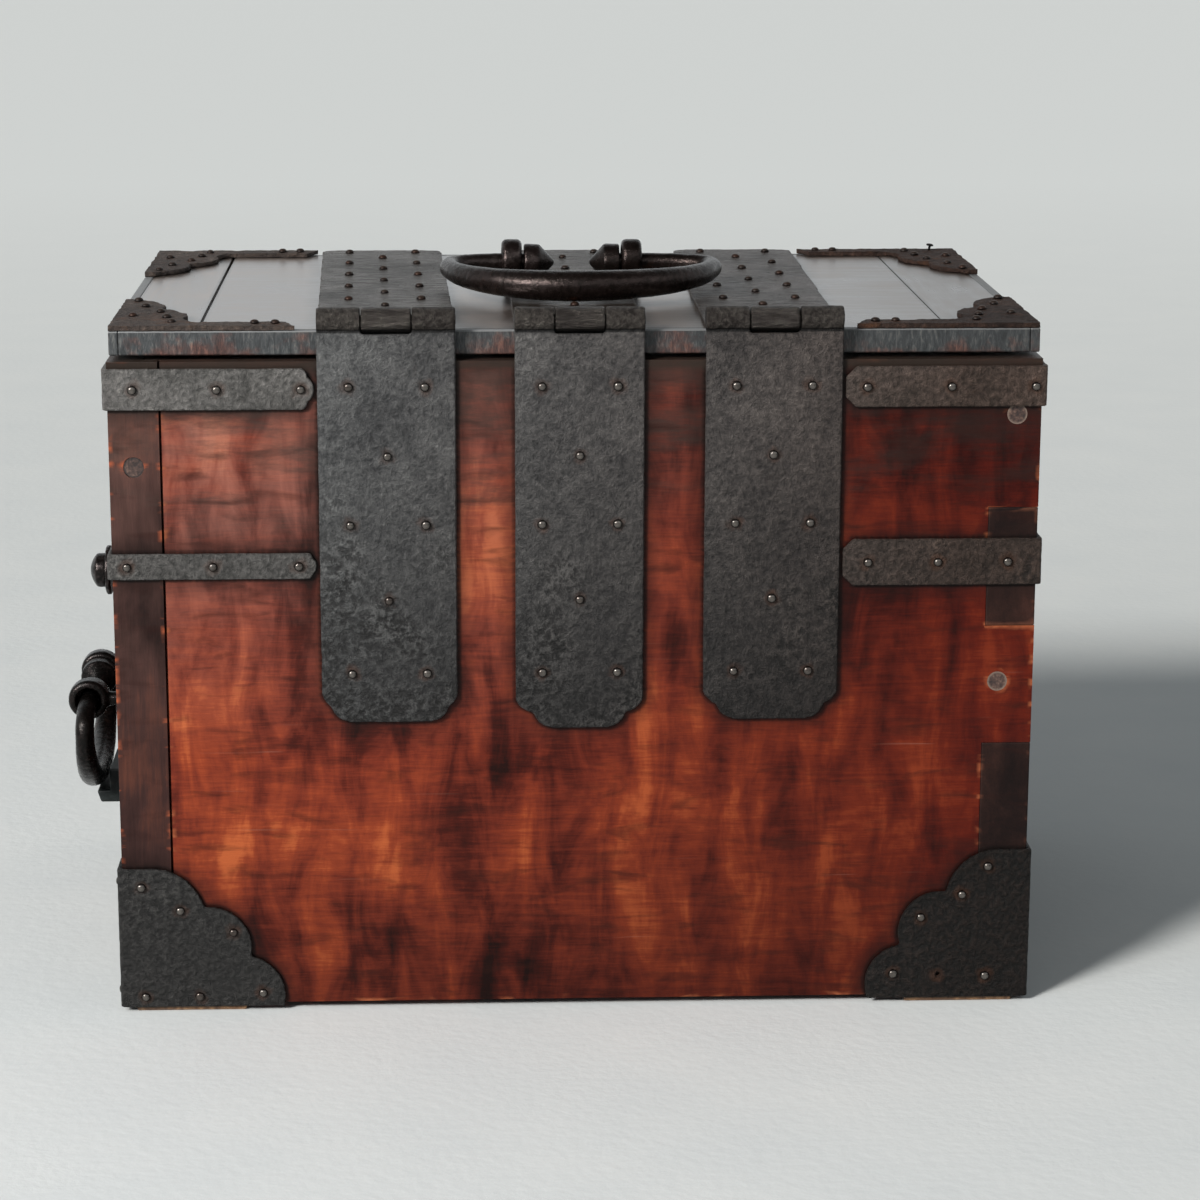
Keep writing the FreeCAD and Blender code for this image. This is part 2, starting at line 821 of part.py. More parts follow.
def body_leaf(hinge):
    """The leaf on the hinge face, its foot cut to a pair of cusps."""
    left, right = hinge_edges(hinge)
    foot = WOOD_TOP - named(hinge, "leaf_drop")
    cusp = named(hinge, "cusp_inset")
    cusp_level = foot + S.cusp_rise
    shoulder = foot + S.shoulder_rise
    neck = AXIS_Z - S.barrel_radius - S.barrel_relief
    outline = [
        (left + cusp + S.foot_run, foot, None),
        (right - cusp - S.foot_run, foot, S.foot_radius),
        (right - cusp, cusp_level, S.shoulder_radius),
        (right, shoulder, None),
        (right, neck, None),
        (left, neck, None),
        (left, shoulder, S.shoulder_radius),
        (left + cusp, cusp_level, S.foot_radius),
    ]
    span = (HINGE_FACE - S.leaf_thick, HINGE_FACE)
    plate = add_plate(new_body("body_leaf"), "XZ", span, outline)
    points = body_leaf_nails(hinge)
    drill(plate, "XZ", span[0], S.leaf_thick, points, NAIL_HOLE)
    for x, z in points:
        nail_at("body_leaf_nails", "hinge", x, span[0], z)
    pieces = [plate]
    for x_span in outer_knuckle_spans(hinge):
        pieces.append(box(x_span, span, (neck, AXIS_Z)))
        pieces.append(knuckle(x_span))
    return cut(fuse(pieces), [pin_bore(hinge)])


def lid_leaf_nails(hinge, near, far):
    """Nail places on the lid's leaf: pairs, with one between, following its drift."""
    place_x = hinge_place(hinge)
    drift = named(hinge, "leaf_drift")
    first = HINGE_FACE + S.lid_nail_first
    pitch = (far - S.lid_nail_last - first) / 10
    points = []
    for row in range(11):
        y = first + pitch * row
        shift = drift * (y - near) / (far - near)
        offsets = (as_size(0),) if row % 2 else (-S.leaf_nail_spread, S.leaf_nail_spread)
        points += [(place_x + shift + offset, y) for offset in offsets]
    return points


def lid_leaf(hinge):
    """The leaf across the lid. The middle one makes room for the handle's posts."""
    left, right = hinge_edges(hinge)
    drift = named(hinge, "leaf_drift")
    corner = S.lid_leaf_corner
    near = AXIS_Y + S.barrel_radius + S.barrel_relief
    far = LID_BACK - S.lid_leaf_margin
    outline = [
        (left, near, None),
        (right, near, None),
        (right + drift, far - corner, corner),
        (right + drift - corner, far, None),
        (left + drift + corner, far, corner),
        (left + drift, far - corner, None),
    ]
    span = (LID_TOP, LEAF_TOP)
    plate = add_plate(new_body("lid_leaf"), "XY", span, outline)
    points = lid_leaf_nails(hinge, near, far)
    drill(plate, "XY", LEAF_TOP, S.leaf_thick, points, NAIL_HOLE)
    for x, y in points:
        nail_at("lid_leaf_nails", "top", x, y, LEAF_TOP)
    tab = box(middle_knuckle_span(hinge), (AXIS_Y, near), span)
    joined = fuse([plate, tab, knuckle(middle_knuckle_span(hinge))])
    tools = [pin_bore(hinge)]
    if hinge == "middle":
        for x in eye_places():
            hole = S.eye_post_radius + S.eye_post_slack
            tools.append(rod(x + S.top_handle_shift, LID_MIDDLE, LID_TOP, "+Z", S.leaf_thick, hole))
    return cut(joined, tools)


def hinge_pin(hinge):
    """The pin through the three knuckles."""
    left, right = hinge_edges(hinge)
    return rod(left, AXIS_Y, AXIS_Z, "+X", right - left, S.pin_radius)


# ----------------------------------------------------------------------------------------
# Corner straps: iron bands bent round the corners
# ----------------------------------------------------------------------------------------


def strap_end(side, sign, reach, low, high):
    """The far end of a strap's leg, from its lower edge to its upper edge. The left-hand
    straps end in a lobe between two rounded shoulders, the right-hand ones in two chamfers."""
    if side == "right":
        back = reach - sign * S.strap_chamfer
        corners = (low + S.strap_chamfer, high - S.strap_chamfer)
        return [(back, low, None), (reach, corners[0], None), (reach, corners[1], None), (back, high, None)]
    height = high - low
    lobe, notch, shoulder = [height * share for share in LOBE_SHARES]
    root = reach - sign * lobe
    half_chord = height / 2 - notch
    lobe_radius = (half_chord * half_chord + lobe * lobe) / (2 * lobe)
    back = root - sign * shoulder
    return [(back, low, notch), (root, low + notch, lobe_radius),
            (root, high - notch, notch), (back, high, None)]


def strap(side, face, low, high, reach, nails, boss=False):
    """An L-shaped strap with three nails along the face and two along the side."""
    sx = SIDES[side]
    sy = FACES[face]
    thick = S.strap_thick
    wood_x = sx * HALF_WIDTH
    wood_y = sy * LOCK_FACE
    outer_x = wood_x + sx * thick
    outer_y = wood_y + sy * thick
    face_y = (outer_y, wood_y) if sy < 0 else (wood_y, outer_y)
    side_x = (outer_x, wood_x) if sx < 0 else (wood_x, outer_x)
    body = new_body("strap")
    front = [(outer_x, low, None)] + strap_end(side, -sx, sx * (HALF_WIDTH - reach), low, high)
    front.append((outer_x, high, None))
    add_plate(body, "XZ", face_y, front)
    edge_y = wood_y + sy * thick
    flank = [(edge_y, low, None)] + strap_end(side, -sy, sy * (LOCK_FACE - S.strap_side_reach), low, high)
    flank.append((edge_y, high, None))
    add_plate(body, "YZ", side_x, flank)
    middle = (low + high) / 2
    inset, pitch = nails
    face_points = [(sx * (HALF_WIDTH - inset - pitch * i), middle) for i in range(3)]
    side_points = [(sy * (LOCK_FACE - S.side_nail - S.side_nail_pitch * i), middle) for i in range(2)]
    if boss:
        side_points[0] = (side_points[0][0], middle - S.boss_drop)
    drill(body, "XZ", outer_y, thick, face_points, NAIL_HOLE)
    drill(body, "YZ", outer_x, thick, side_points, NAIL_HOLE)
    for x, z in face_points:
        nail_at("strap_nails", face, x, outer_y, z)
    for y, z in side_points[1 if boss else 0:]:
        nail_at("strap_nails", side, outer_x, y, z)
    return round_edges(body, S.bend_radius, upright_at(outer_x, outer_y))


def make_straps():
    """Eight straps: an upper and a middle one at each corner. A boss takes the place of the
    first side nail of the middle strap at the left hinge corner."""
    reaches = {
        "left": HALF_WIDTH + hinge_edges("left")[0] - S.strap_hinge_gap,
        "right": HALF_WIDTH - hinge_edges("right")[1] - S.strap_hinge_gap,
    }
    upper_high = WOOD_TOP - S.strap_top_gap
    for side in SIDES:
        upper = (named("upper_%s" % side, "nail"), named("upper_%s" % side, "pitch"))
        middle = (named("middle_%s" % side, "nail"), named("middle_%s" % side, "pitch"))
        half = named(side, "middle_height") / 2
        level = WOOD_BOTTOM + S.middle_strap_level
        for face in FACES:
            name = "%s_strap_%s_side" % (side, face)
            low = upper_high - S.upper_strap_height
            node("upper_" + name, strap(side, face, low, upper_high, reaches[side], upper))
            span = (level - half, level + half)
            boss = side == "left" and face == "hinge"
            node("middle_" + name, strap(side, face, *span, reaches[side], middle, boss))


# ----------------------------------------------------------------------------------------
# Scalloped plates at the foot of the four corners
# ----------------------------------------------------------------------------------------


def foot_outline(wood, sign, height):
    """Three lobes that step down from the corner's upright edge to the floor edge."""
    width = S.foot_plate_width
    low = WOOD_BOTTOM - S.foot_plate_drop
    outer = wood + sign * S.strap_thick
    points = [(wood - sign * S.foot_plate_flat, low + height)]
    points += [(wood - sign * width * u, low + height * w) for u, w in FOOT_CUSP_SHARES]
    points.append((wood - sign * width, low))
    outline = [(outer, low, None), (outer, low + height, None)]
    for (x, z), radius in zip(points[:-1], FOOT_RADIUS_SHARES):
        outline.append((x, z, width * radius))
    outline.append((points[-1][0], points[-1][1], None))
    return outline


def foot_plate(side, face):
    """A plate bent round one corner, nailed on both faces."""
    sx = SIDES[side]
    sy = FACES[face]
    height = named(side, "foot_plate_height")
    wood_x = sx * HALF_WIDTH
    wood_y = sy * LOCK_FACE
    outer_x = wood_x + sx * S.strap_thick
    outer_y = wood_y + sy * S.strap_thick
    face_y = (outer_y, wood_y) if sy < 0 else (wood_y, outer_y)
    side_x = (outer_x, wood_x) if sx < 0 else (wood_x, outer_x)
    body = new_body("foot_plate")
    add_plate(body, "XZ", face_y, foot_outline(wood_x, sx, height))
    add_plate(body, "YZ", side_x, foot_outline(wood_y, sy, height))
    low = WOOD_BOTTOM - S.foot_plate_drop
    shares = LEFT_FOOT_NAIL_SHARES if side == "left" else RIGHT_FOOT_NAIL_SHARES
    face_points = [(wood_x - sx * S.foot_plate_width * u, low + height * w) for u, w in shares]
    side_points = [(wood_y - sy * S.foot_plate_width * u, low + height * w) for u, w in shares]
    drill(body, "XZ", outer_y, S.strap_thick, face_points, NAIL_HOLE)
    drill(body, "YZ", outer_x, S.strap_thick, side_points, NAIL_HOLE)
    for x, z in face_points:
        nail_at("foot_plate_nails", face, x, outer_y, z)
    for y, z in side_points:
        nail_at("foot_plate_nails", side, outer_x, y, z)
    return round_edges(body, S.bend_radius, upright_at(outer_x, outer_y))


# ----------------------------------------------------------------------------------------
# Plates on the corners of the lid
# ----------------------------------------------------------------------------------------


def lid_plate(side, face):
    """A flat plate: a slender arm towards the hinge, a scalloped wing along the lid's end."""
    sx = SIDES[side]
    sy = FACES[face]
    corner_x = sx * LID_HALF
    corner_y = LID_FRONT if sy < 0 else LID_BACK
    reach = S.lid_plate_reach
    length = S.lid_plate_side
    arm = S.lid_plate_arm

    def at(u, v):
        return (corner_x - sx * u, corner_y - sy * v)

    (u1, v1), (u2, v2) = LID_CUSP_SHARES
    outline = [
        at(0, 0) + (None,),
        at(reach, 0) + (None,),
        at(reach * 0.94, arm) + (None,),
        at(reach * 0.47, arm) + (-reach * 0.16,),
        at(reach * u1, length * v1) + (reach * 0.3,),
        at(reach * u2, length * v2) + (reach * 0.3,),
        at(reach * 0.1, length * 0.96) + (reach * 0.07,),
        at(0, length) + (None,),
    ]
    span = (LID_TOP, LID_TOP + S.lid_plate_thick)
    body = add_plate(new_body("lid_plate"), "XY", span, outline)
    points = [at(reach * u, length * v) for u, v in LID_NAIL_SHARES]
    drill(body, "XY", span[1], S.lid_plate_thick, points, NAIL_HOLE)
    for x, y in points:
        nail_at("lid_plate_nails", "top", x, y, span[1])
    return body


# ----------------------------------------------------------------------------------------
# Handles: two eye posts, a forged bail through them and a finial riveted on each end
# ----------------------------------------------------------------------------------------


def eye_places():
    """Where the two posts stand along the handle's axis, about its middle."""
    return (-S.eye_spread / 2, S.eye_spread / 2)


def eye(post_length):
    """An eye at the origin: a ring whose axis is X on a post that runs down to a riveted end."""
    half = S.eye_width / 2
    inner = S.eye_radius - S.eye_edge_radius
    corner = half - S.eye_edge_radius
    profile = [
        (-half, S.eye_hole_radius, None),
        (half, S.eye_hole_radius, None),
        (half, inner, S.eye_edge_radius),
        (corner, S.eye_radius, None),
        (-corner, S.eye_radius, S.eye_edge_radius),
        (-half, inner, None),
    ]
    ring = new_body("eye_ring")
    sketch = sketch_on(ring, "XZ", 0)
    draw_outline(sketch, profile)
    turned = ring.newObject("PartDesign::Revolution", new_name("revolution"))
    turned.Profile = sketch
    turned.ReferenceAxis = (sketch, ["H_Axis"])
    turned.Angle = 360
    doc.recompute()
    middle = (S.eye_hole_radius + S.eye_radius) / 2
    length = as_size(post_length)
    post = rod(0, 0, -middle, "-Z", length - middle, S.eye_post_radius)
    clinch = rod(0, 0, -length, "-Z", S.eye_clinch_height, S.eye_clinch_radius)
    return fuse([ring, post, clinch])


def bail_path(half_width, reach, shoulder):
    """Points and half-way factors along half a bail, from the end in its finial to the grip's
    middle. The bail lies in the XZ plane, hangs towards -Z and turns about X."""
    straight = float(S.eye_spread / 2 + S.eye_width / 2)
    bore_end = float(finial_face() - S.finial_bore + 2 * S.bail_play)
    points = [(bore_end + (straight - bore_end) * i / 4, 0.0) for i in range(5)]
    for i in range(1, 6):
        angle = math.pi / 2 * i / 5
        x = straight + (half_width - straight) * math.sin(angle)
        points.append((x, shoulder * (math.cos(angle) - 1)))
    for i in range(1, 9):
        angle = math.pi / 2 * i / 8
        points.append((half_width * math.cos(angle), -shoulder - (reach - shoulder) * math.sin(angle)))
    return points


def bail_shape(half_widths, reach, shoulder, grip_radius):
    """A round bar, thickest at the grip, lofted along the bail's path. The half widths are
    those of its -X and +X halves."""
    left, right = [bail_path(float(width), float(reach), float(shoulder)) for width in half_widths]
    path = right + [(-x, z) for x, z in reversed(left[:-1])]
    end_radius = float(S.bail_end_radius)
    swell = float(grip_radius) - end_radius
    rings = []
    for i, (x, z) in enumerate(path):
        before = path[max(i - 1, 0)]
        after = path[min(i + 1, len(path) - 1)]
        along = Vector(after[0] - before[0], 0, after[1] - before[1])
        share = min(max(-z / float(reach), 0.0), 1.0)
        radius = end_radius + swell * share * share
        rings.append(Part.Wire(Part.makeCircle(radius, Vector(x, 0, z), along)))
    return Part.makeLoft(rings, True, False)


def finial_face():
    """How far from the handle's middle a finial's flat face lies."""
    return S.eye_spread / 2 - S.eye_width / 2 - S.finial_gap


def finial(sign):
    """An acorn on one end of the bar, its point towards the handle's middle. Made about the
    X axis at the origin."""
    face = finial_face()
    barrel_end = face - S.finial_barrel
    direction = "-X" if sign > 0 else "+X"
    radii = (S.finial_radius, S.finial_point_radius)
    round_part = rod(sign * face, 0, 0, direction, S.finial_barrel, S.finial_radius)
    point = cone(sign * barrel_end, 0, 0, direction, S.finial_tip, *radii)
    bore = rod(sign * face, 0, 0, direction, S.finial_bore, S.bail_end_radius + S.pin_slack)
    return cut(fuse([round_part, point]), [bore])


def make_top_handle():
    """The handle on the lid. Its bail lies down towards the hinges."""
    pivot_x = S.top_handle_shift
    for side, x in zip(SIDES, eye_places()):
        post = TOP_EYE_Z - LID_BOTTOM + S.eye_washer_thick
        node("%s_top_eye" % side, place(eye(post), pivot_x + x, LID_MIDDLE, TOP_EYE_Z))
    washers = [washer(pivot_x + x, LID_MIDDLE, LID_BOTTOM, "-Z") for x in eye_places()]
    group("top_eye_washers", washers)
    pivot_z = TOP_EYE_Z - BAR_DROP
    rest_z = LEAF_TOP + S.top_grip_radius + S.top_bail_rest_gap
    droop = math.asin(float(pivot_z - rest_z) / float(S.top_bail_reach))
    lying = Rotation(Vector(1, 0, 0), -90 + math.degrees(droop))
    bail = doc.addObject("Part::Feature", "top_bail")
    widths = (S.top_bail_left, S.top_bail_right)
    bail.Shape = bail_shape(widths, S.top_bail_reach, S.top_bail_shoulder, S.top_grip_radius)
    bail.Placement = Placement(Vector(float(pivot_x), float(LID_MIDDLE), float(pivot_z)), lying)
    node("top_bail", bail)
    finials = group("top_bail_finials", [finial(-1), finial(1)])
    place(finials, pivot_x, LID_MIDDLE, pivot_z)


def washer(x, y, z, direction):
    """A washer under a riveted post."""
    disc = rod(x, y, z, direction, S.eye_washer_thick, S.eye_washer_radius)
    hole = rod(x, y, z, direction, S.eye_washer_thick, S.eye_post_radius + S.eye_post_slack)
    return cut(disc, [hole])


def make_side_handle():
    """The drop handle on the left end."""
    turned = Rotation(Vector(0, 0, 1), 90) * Rotation(Vector(1, 0, 0), -90)
    for face, y in zip(FACES, eye_places()):
        post = S.side_eye_standoff + S.end_board + S.eye_washer_thick
        ring = eye(post)
        ring.Placement = Placement(Vector(), turned)
        node("side_eye_%s_side" % face, place(ring, SIDE_EYE_X, y, S.side_eye_level))
    washers = [washer(-CAVITY_HALF, y, S.side_eye_level, "+X") for y in eye_places()]
    group("side_eye_washers", washers)
    pivot_z = S.side_eye_level - BAR_DROP
    hanging = Rotation(Vector(0, 0, 1), 90)
    bail = doc.addObject("Part::Feature", "side_bail")
    widths = (S.side_bail_half_width, S.side_bail_half_width)
    bail.Shape = bail_shape(widths, S.side_bail_reach, S.side_bail_shoulder, S.side_grip_radius)
    bail.Placement = Placement(Vector(float(SIDE_EYE_X), 0, float(pivot_z)), hanging)
    node("side_bail", bail)
    finials = group("side_bail_finials", [finial(-1), finial(1)])
    finials.Placement = Placement(Vector(), hanging)
    place(finials, SIDE_EYE_X, as_size(0), pivot_z)


def handle_rest():
    """The block under the side handle: a shelf against the wood and a low lip below the grip,
    hollowed where the grip swings."""
    bottom = S.rest_bottom
    lip_top = bottom + S.rest_lip_height
    outline = [
        (-HALF_WIDTH, bottom, None),
        (-HALF_WIDTH, bottom + S.rest_height, None),
        (-HALF_WIDTH - S.rest_shelf, bottom + S.rest_height, None),
        (-HALF_WIDTH - S.rest_shelf, lip_top, None),
        (-HALF_WIDTH - S.rest_lip, lip_top, None),
        (-HALF_WIDTH - S.rest_lip + S.rest_undercut, bottom, None),
    ]
    half = S.rest_width / 2
    block = add_plate(new_body("handle_rest"), "XZ", (-half, half), outline)
    pivot_z = S.side_eye_level - BAR_DROP
    swing = S.side_bail_reach + S.side_grip_radius + S.rest_clearance
    sweep = rod(SIDE_EYE_X, -half, pivot_z, "+Y", S.rest_width, swing)
    keep = box((-HALF_WIDTH - S.rest_shelf, -HALF_WIDTH), (-half, half), (bottom, bottom + S.rest_height))
    return cut(block, [cut(sweep, [keep])])


def corner_boss():
    """A domed stud on a disc, over the left middle strap."""
    outer = -HALF_WIDTH - S.strap_thick
    y = HINGE_FACE + S.side_nail
    z = WOOD_BOTTOM + S.middle_strap_level - S.boss_drop
    disc = rod(outer, y, z, "-X", S.boss_thick, S.boss_radius)
    hole = rod(outer, y, z, "-X", S.boss_thick, NAIL_HOLE)
    return cut(disc, [hole])


def corner_stud():
    """The stud's head, a low drum with a domed top, with its shank."""
    y = HINGE_FACE + S.side_nail
    z = WOOD_BOTTOM + S.middle_strap_level - S.boss_drop
    seat = -HALF_WIDTH - S.strap_thick - S.boss_thick
    rise = S.boss_stud_height - S.boss_stud_drum
    radius = (S.boss_stud_radius * S.boss_stud_radius + rise * rise) / (2 * rise)
    ball = doc.addObject("Part::Sphere", new_name("ball"))
    bind(ball, "Radius", radius)
    place(ball, seat - S.boss_stud_height + radius, y, z)
    slab = rod(seat - S.boss_stud_drum, y, z, "-X", rise, S.boss_stud_radius)
    dome = doc.addObject("Part::Common", new_name("dome"))
    dome.Base = ball
    dome.Tool = slab
    drum = rod(seat, y, z, "-X", S.boss_stud_drum, S.boss_stud_radius)
    shank = rod(seat, y, z, "+X", S.boss_thick + S.nail_length, S.nail_shank_radius)
    return fuse([dome, drum, shank])


# ----------------------------------------------------------------------------------------
# Chest lock: a case on the inside of the lock board, its bolt, the lid's catch, a key plate
# ----------------------------------------------------------------------------------------


def lock_spans():
    """The outer spans of the lock's case."""
    half = S.lock_width / 2
    top = WOOD_TOP - S.lock_drop
    return ((-half, half), (CAVITY_BACK - S.lock_depth, CAVITY_BACK), (top - S.lock_height, top))


def lock_case():
    """A sheet case, open towards the board, slotted on top for the lid's catch and at one end
    for the bolt."""
    x_span, y_span, z_span = lock_spans()
    wall = S.lock_wall
    shell = box(x_span, y_span, z_span)
    hollow = box((x_span[0] + wall, x_span[1] - wall), (y_span[0] + wall, y_span[1]),
                 (z_span[0] + wall, z_span[1] - wall))
    slot_half = S.lock_slot / 2
    slot = box((-slot_half, slot_half), (y_span[0] + wall, y_span[1]), (z_span[1] - wall, z_span[1]))
    shelf_top = bolt_spans()[2][0] - S.bolt_slack / 4
    shelf = box((x_span[0], -slot_half), y_span, (shelf_top - wall, shelf_top))
    return fuse([cut(shell, [hollow, slot]), shelf])


def bolt_spans():
    """The spans of the withdrawn bolt."""
    y_low = CAVITY_BACK - S.lock_depth / 2 - S.bolt_thick / 2 + S.lock_wall / 2
    z_low = WOOD_TOP - S.lock_drop - S.bolt_level - S.bolt_height
    end = -S.lock_slot / 2
    return ((end - S.bolt_length / 2, end), (y_low, y_low + S.bolt_thick), (z_low, z_low + S.bolt_height))


def catch_pieces():
    """The catch under the lid: a plate and a tab with a window for the bolt."""
    x_span, y_span, z_span = bolt_spans()
    middle = (y_span[0] + y_span[1]) / 2
    half_plate = S.catch_plate_width / 2
    half_tab = S.catch_tab_width / 2
    half_thick = S.catch_tab_thick / 2
    plate_top = LID_BOTTOM
    plate = box((-half_plate, half_plate), (middle - half_tab, middle + half_tab),
                (plate_top - S.catch_plate_thick, plate_top))
    tab = box((-half_thick, half_thick), (middle - half_tab, middle + half_tab),
              (z_span[0] - S.bolt_slack - S.catch_lip, plate_top))
    window = box((-half_thick, half_thick), (y_span[0] - S.bolt_slack, y_span[1] + S.bolt_slack),
                 (z_span[0] - S.bolt_slack, z_span[1] + S.bolt_slack))
    return cut(fuse([plate, tab]), [window])


def key_plate():
    """The plate over the keyhole, nailed at its corners."""
    half = S.keyplate_width / 2
    corner = S.keyplate_corner
    x_span, y_span, z_span = lock_spans()
    middle = (z_span[0] + z_span[1]) / 2
    low = middle - S.keyplate_height / 2
    high = middle + S.keyplate_height / 2
    outline = [
        (-half + corner, low, None),
        (half - corner, low, -corner),
        (half, low + corner, None),
        (half, high - corner, -corner),
        (half - corner, high, None),
        (-half + corner, high, -corner),
        (-half, high - corner, None),
        (-half, low + corner, -corner),
    ]
    outer = LOCK_FACE + S.keyplate_thick
    body = add_plate(new_body("key_plate"), "XZ", (LOCK_FACE, outer), outline)
    inset = S.keyplate_nail_inset
    centre = as_size(0)
    points = [(centre, low + inset), (centre, high - inset), (-half + inset, middle), (half - inset, middle)]
    drill(body, "XZ", outer, S.keyplate_thick, points, NAIL_HOLE)
    for x, z in points:
        nail_at("key_plate_nails", "lock", x, outer, z)
    return cut(body, keyhole(LOCK_FACE, S.keyplate_thick, "+Y"))


def keyhole(start, depth, direction):
    """A round hole with a slot below it, as cutting tools."""
    x_span, y_span, z_span = lock_spans()
    middle = (z_span[0] + z_span[1]) / 2
    half = S.key_slot_width / 2
    span = (start, start + depth) if direction == "+Y" else (start - depth, start)
    slot = box((-half, half), span, (middle - S.key_slot_length, middle))
    return [rod(0, start, middle, direction, depth, S.key_radius), slot]


# ----------------------------------------------------------------------------------------
# Build
# ----------------------------------------------------------------------------------------


def make_body():
    node("hinge_board", face_board("hinge"))
    node("lock_board", cut(face_board("lock"), keyhole(LOCK_FACE, S.face_board, "-Y")))
    node("left_board", left_board())
    node("right_board", right_board())
    node("bottom_board", bottom_board())
    group("skids", skids())
    group("joint_plugs", plugs())


def make_lid():
    node("lid_panel", lid_panel())
    for side in SIDES:
        node("%s_cleat" % side, lid_cleat(side))
        node("%s_lid_strip" % side, lid_strip(side))
        for face in FACES:
            node("lid_plate_%s_%s" % (face, side), lid_plate(side, face))
    for face in FACES:
        node("%s_side_lid_strip" % face, long_strip(face))


def make_hinges():
    for hinge in HINGES:
        node("%s_body_leaf" % hinge, body_leaf(hinge))
        node("%s_lid_leaf" % hinge, lid_leaf(hinge))
    group("hinge_pins", [hinge_pin(hinge) for hinge in HINGES])


def make_foot_plates():
    for side in SIDES:
        for face in FACES:
            node("foot_plate_%s_%s" % (face, side), foot_plate(side, face))


def make_lock():
    node("lock_case", lock_case())
    node("lock_bolt", box(*bolt_spans()))
    node("lid_catch", catch_pieces())
    node("key_plate", key_plate())


def check_document():
    """Stop if any object failed, or if any sub-part has no sound shape."""
    for thing in doc.Objects:
        if "Invalid" in thing.State or "Error" in thing.State:
            raise RuntimeError("failed: %s %s" % (thing.Label, thing.State))
    for name, thing in NODES.items():
        if thing.Shape.isNull() or not thing.Shape.isValid() or not thing.Shape.Solids:
            raise RuntimeError("bad shape: %s" % name)


def export_nodes():
    os.makedirs("parts", exist_ok=True)
    for name, thing in NODES.items():
        thing.Shape.exportStep("parts/%s.step" % name)
    print(len(NODES), "sub-parts")


make_body()
make_lid()
make_hinges()
make_straps()
make_foot_plates()
make_top_handle()
make_side_handle()
node("handle_rest", handle_rest())
node("boss_disc", corner_boss())
node("boss_stud", corner_stud())
make_lock()
make_nails()
doc.recompute()
check_document()
export_nodes()
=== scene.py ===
import math

import bmesh
import bpy
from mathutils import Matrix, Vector, kdtree, noise


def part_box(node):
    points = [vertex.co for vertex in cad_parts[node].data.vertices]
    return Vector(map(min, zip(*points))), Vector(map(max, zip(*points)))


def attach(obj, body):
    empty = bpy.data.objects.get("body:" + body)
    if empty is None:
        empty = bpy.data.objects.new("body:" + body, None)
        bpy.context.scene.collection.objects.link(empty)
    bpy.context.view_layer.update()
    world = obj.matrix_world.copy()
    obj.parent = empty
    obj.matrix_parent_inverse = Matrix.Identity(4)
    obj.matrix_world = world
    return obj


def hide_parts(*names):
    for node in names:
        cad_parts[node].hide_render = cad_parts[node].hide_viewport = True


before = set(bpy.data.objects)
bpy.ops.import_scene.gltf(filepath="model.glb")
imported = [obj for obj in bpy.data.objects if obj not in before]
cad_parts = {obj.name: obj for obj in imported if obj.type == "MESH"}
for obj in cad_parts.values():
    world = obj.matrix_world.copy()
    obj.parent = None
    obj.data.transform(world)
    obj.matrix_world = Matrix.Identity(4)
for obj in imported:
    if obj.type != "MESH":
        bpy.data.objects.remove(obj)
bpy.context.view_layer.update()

# ---------------------------------------------------------------------------
# Camera: eye height a little over the lid, facing the hinge side, far enough
# back for a long lens.
# ---------------------------------------------------------------------------

EYE = Vector((-0.06245, -1.81844, 0.6144))
GAZE = (76.763, -0.157, -2.525)

camera = bpy.data.objects.new("eye", bpy.data.cameras.new("eye"))
camera.data.sensor_width = 36
camera.data.lens = 98.53
camera.location = EYE
camera.rotation_euler = [math.radians(angle) for angle in GAZE]
bpy.context.scene.collection.objects.link(camera)
bpy.context.scene.camera = camera

# ---------------------------------------------------------------------------
# Studio: a wide pale plaster floor under a soft sun from the upper left, a
# large lamp close by on the same side. Gloss mirrors a pale wall behind, a
# bright band of windows half way up in front, and dimness overhead.
# ---------------------------------------------------------------------------

FLOOR_RADIUS = 60.0
PLASTER = "#d5d9d9"
PLASTER_SHADE = "#cfd4d5"
FAR_PLASTER = "#e4e9ea"
SKY = "#dfe3e5"
SKY_LIGHT = 0.34
WALL_SHEEN = 0.92
WINDOW_SHEEN = 1.7
STUDIO_SHEEN = 0.2
CEILING_SHEEN = 0.07
SUN_POWER = 3.5
SUN_SPREAD = 12
SUN_FROM = (-1.0, -1.0, 1.0)
MIDDLE = (0.0, 0.0, 0.2)
LAMP_PLACE = (-1.15, -1.25, 1.05)
LAMP_AIM = (-0.05, -0.15, 0.25)
LAMP_POWER = 14
LAMP_SIZE = 0.7


def linear(colour):
    """A hex sRGB colour as linear RGBA."""
    channels = [int(colour[i : i + 2], 16) / 255 for i in (1, 3, 5)]
    return [c / 12.92 if c <= 0.04045 else ((c + 0.055) / 1.055) ** 2.4 for c in channels] + [1.0]


def add(tree, kind, links=None, **settings):
    """A node of a kind. Settings name its properties or, with an underscore for a space and a
    number for a place, its sockets; links feed its sockets from other nodes' outputs."""
    made = tree.nodes.new(kind)
    inputs = {}
    for name, value in settings.items():
        if hasattr(made, name):
            setattr(made, name, value)
        else:
            inputs[name] = value
    for name, value in inputs.items():
        key = int(name[1:]) if name[0] == "n" and name[1:].isdigit() else name.replace("_", " ")
        made.inputs[key].default_value = value
    for key, source in (links or {}).items():
        output = source if isinstance(source, bpy.types.NodeSocket) else source.outputs[0]
        tree.links.new(output, made.inputs[key])
    return made


def new_material(name):
    """A material with an empty tree, its tree and its object coordinates."""
    material = bpy.data.materials.new(name)
    material.use_nodes = True
    tree = material.node_tree
    tree.nodes.clear()
    return material, tree, add(tree, "ShaderNodeTexCoord").outputs["Object"]


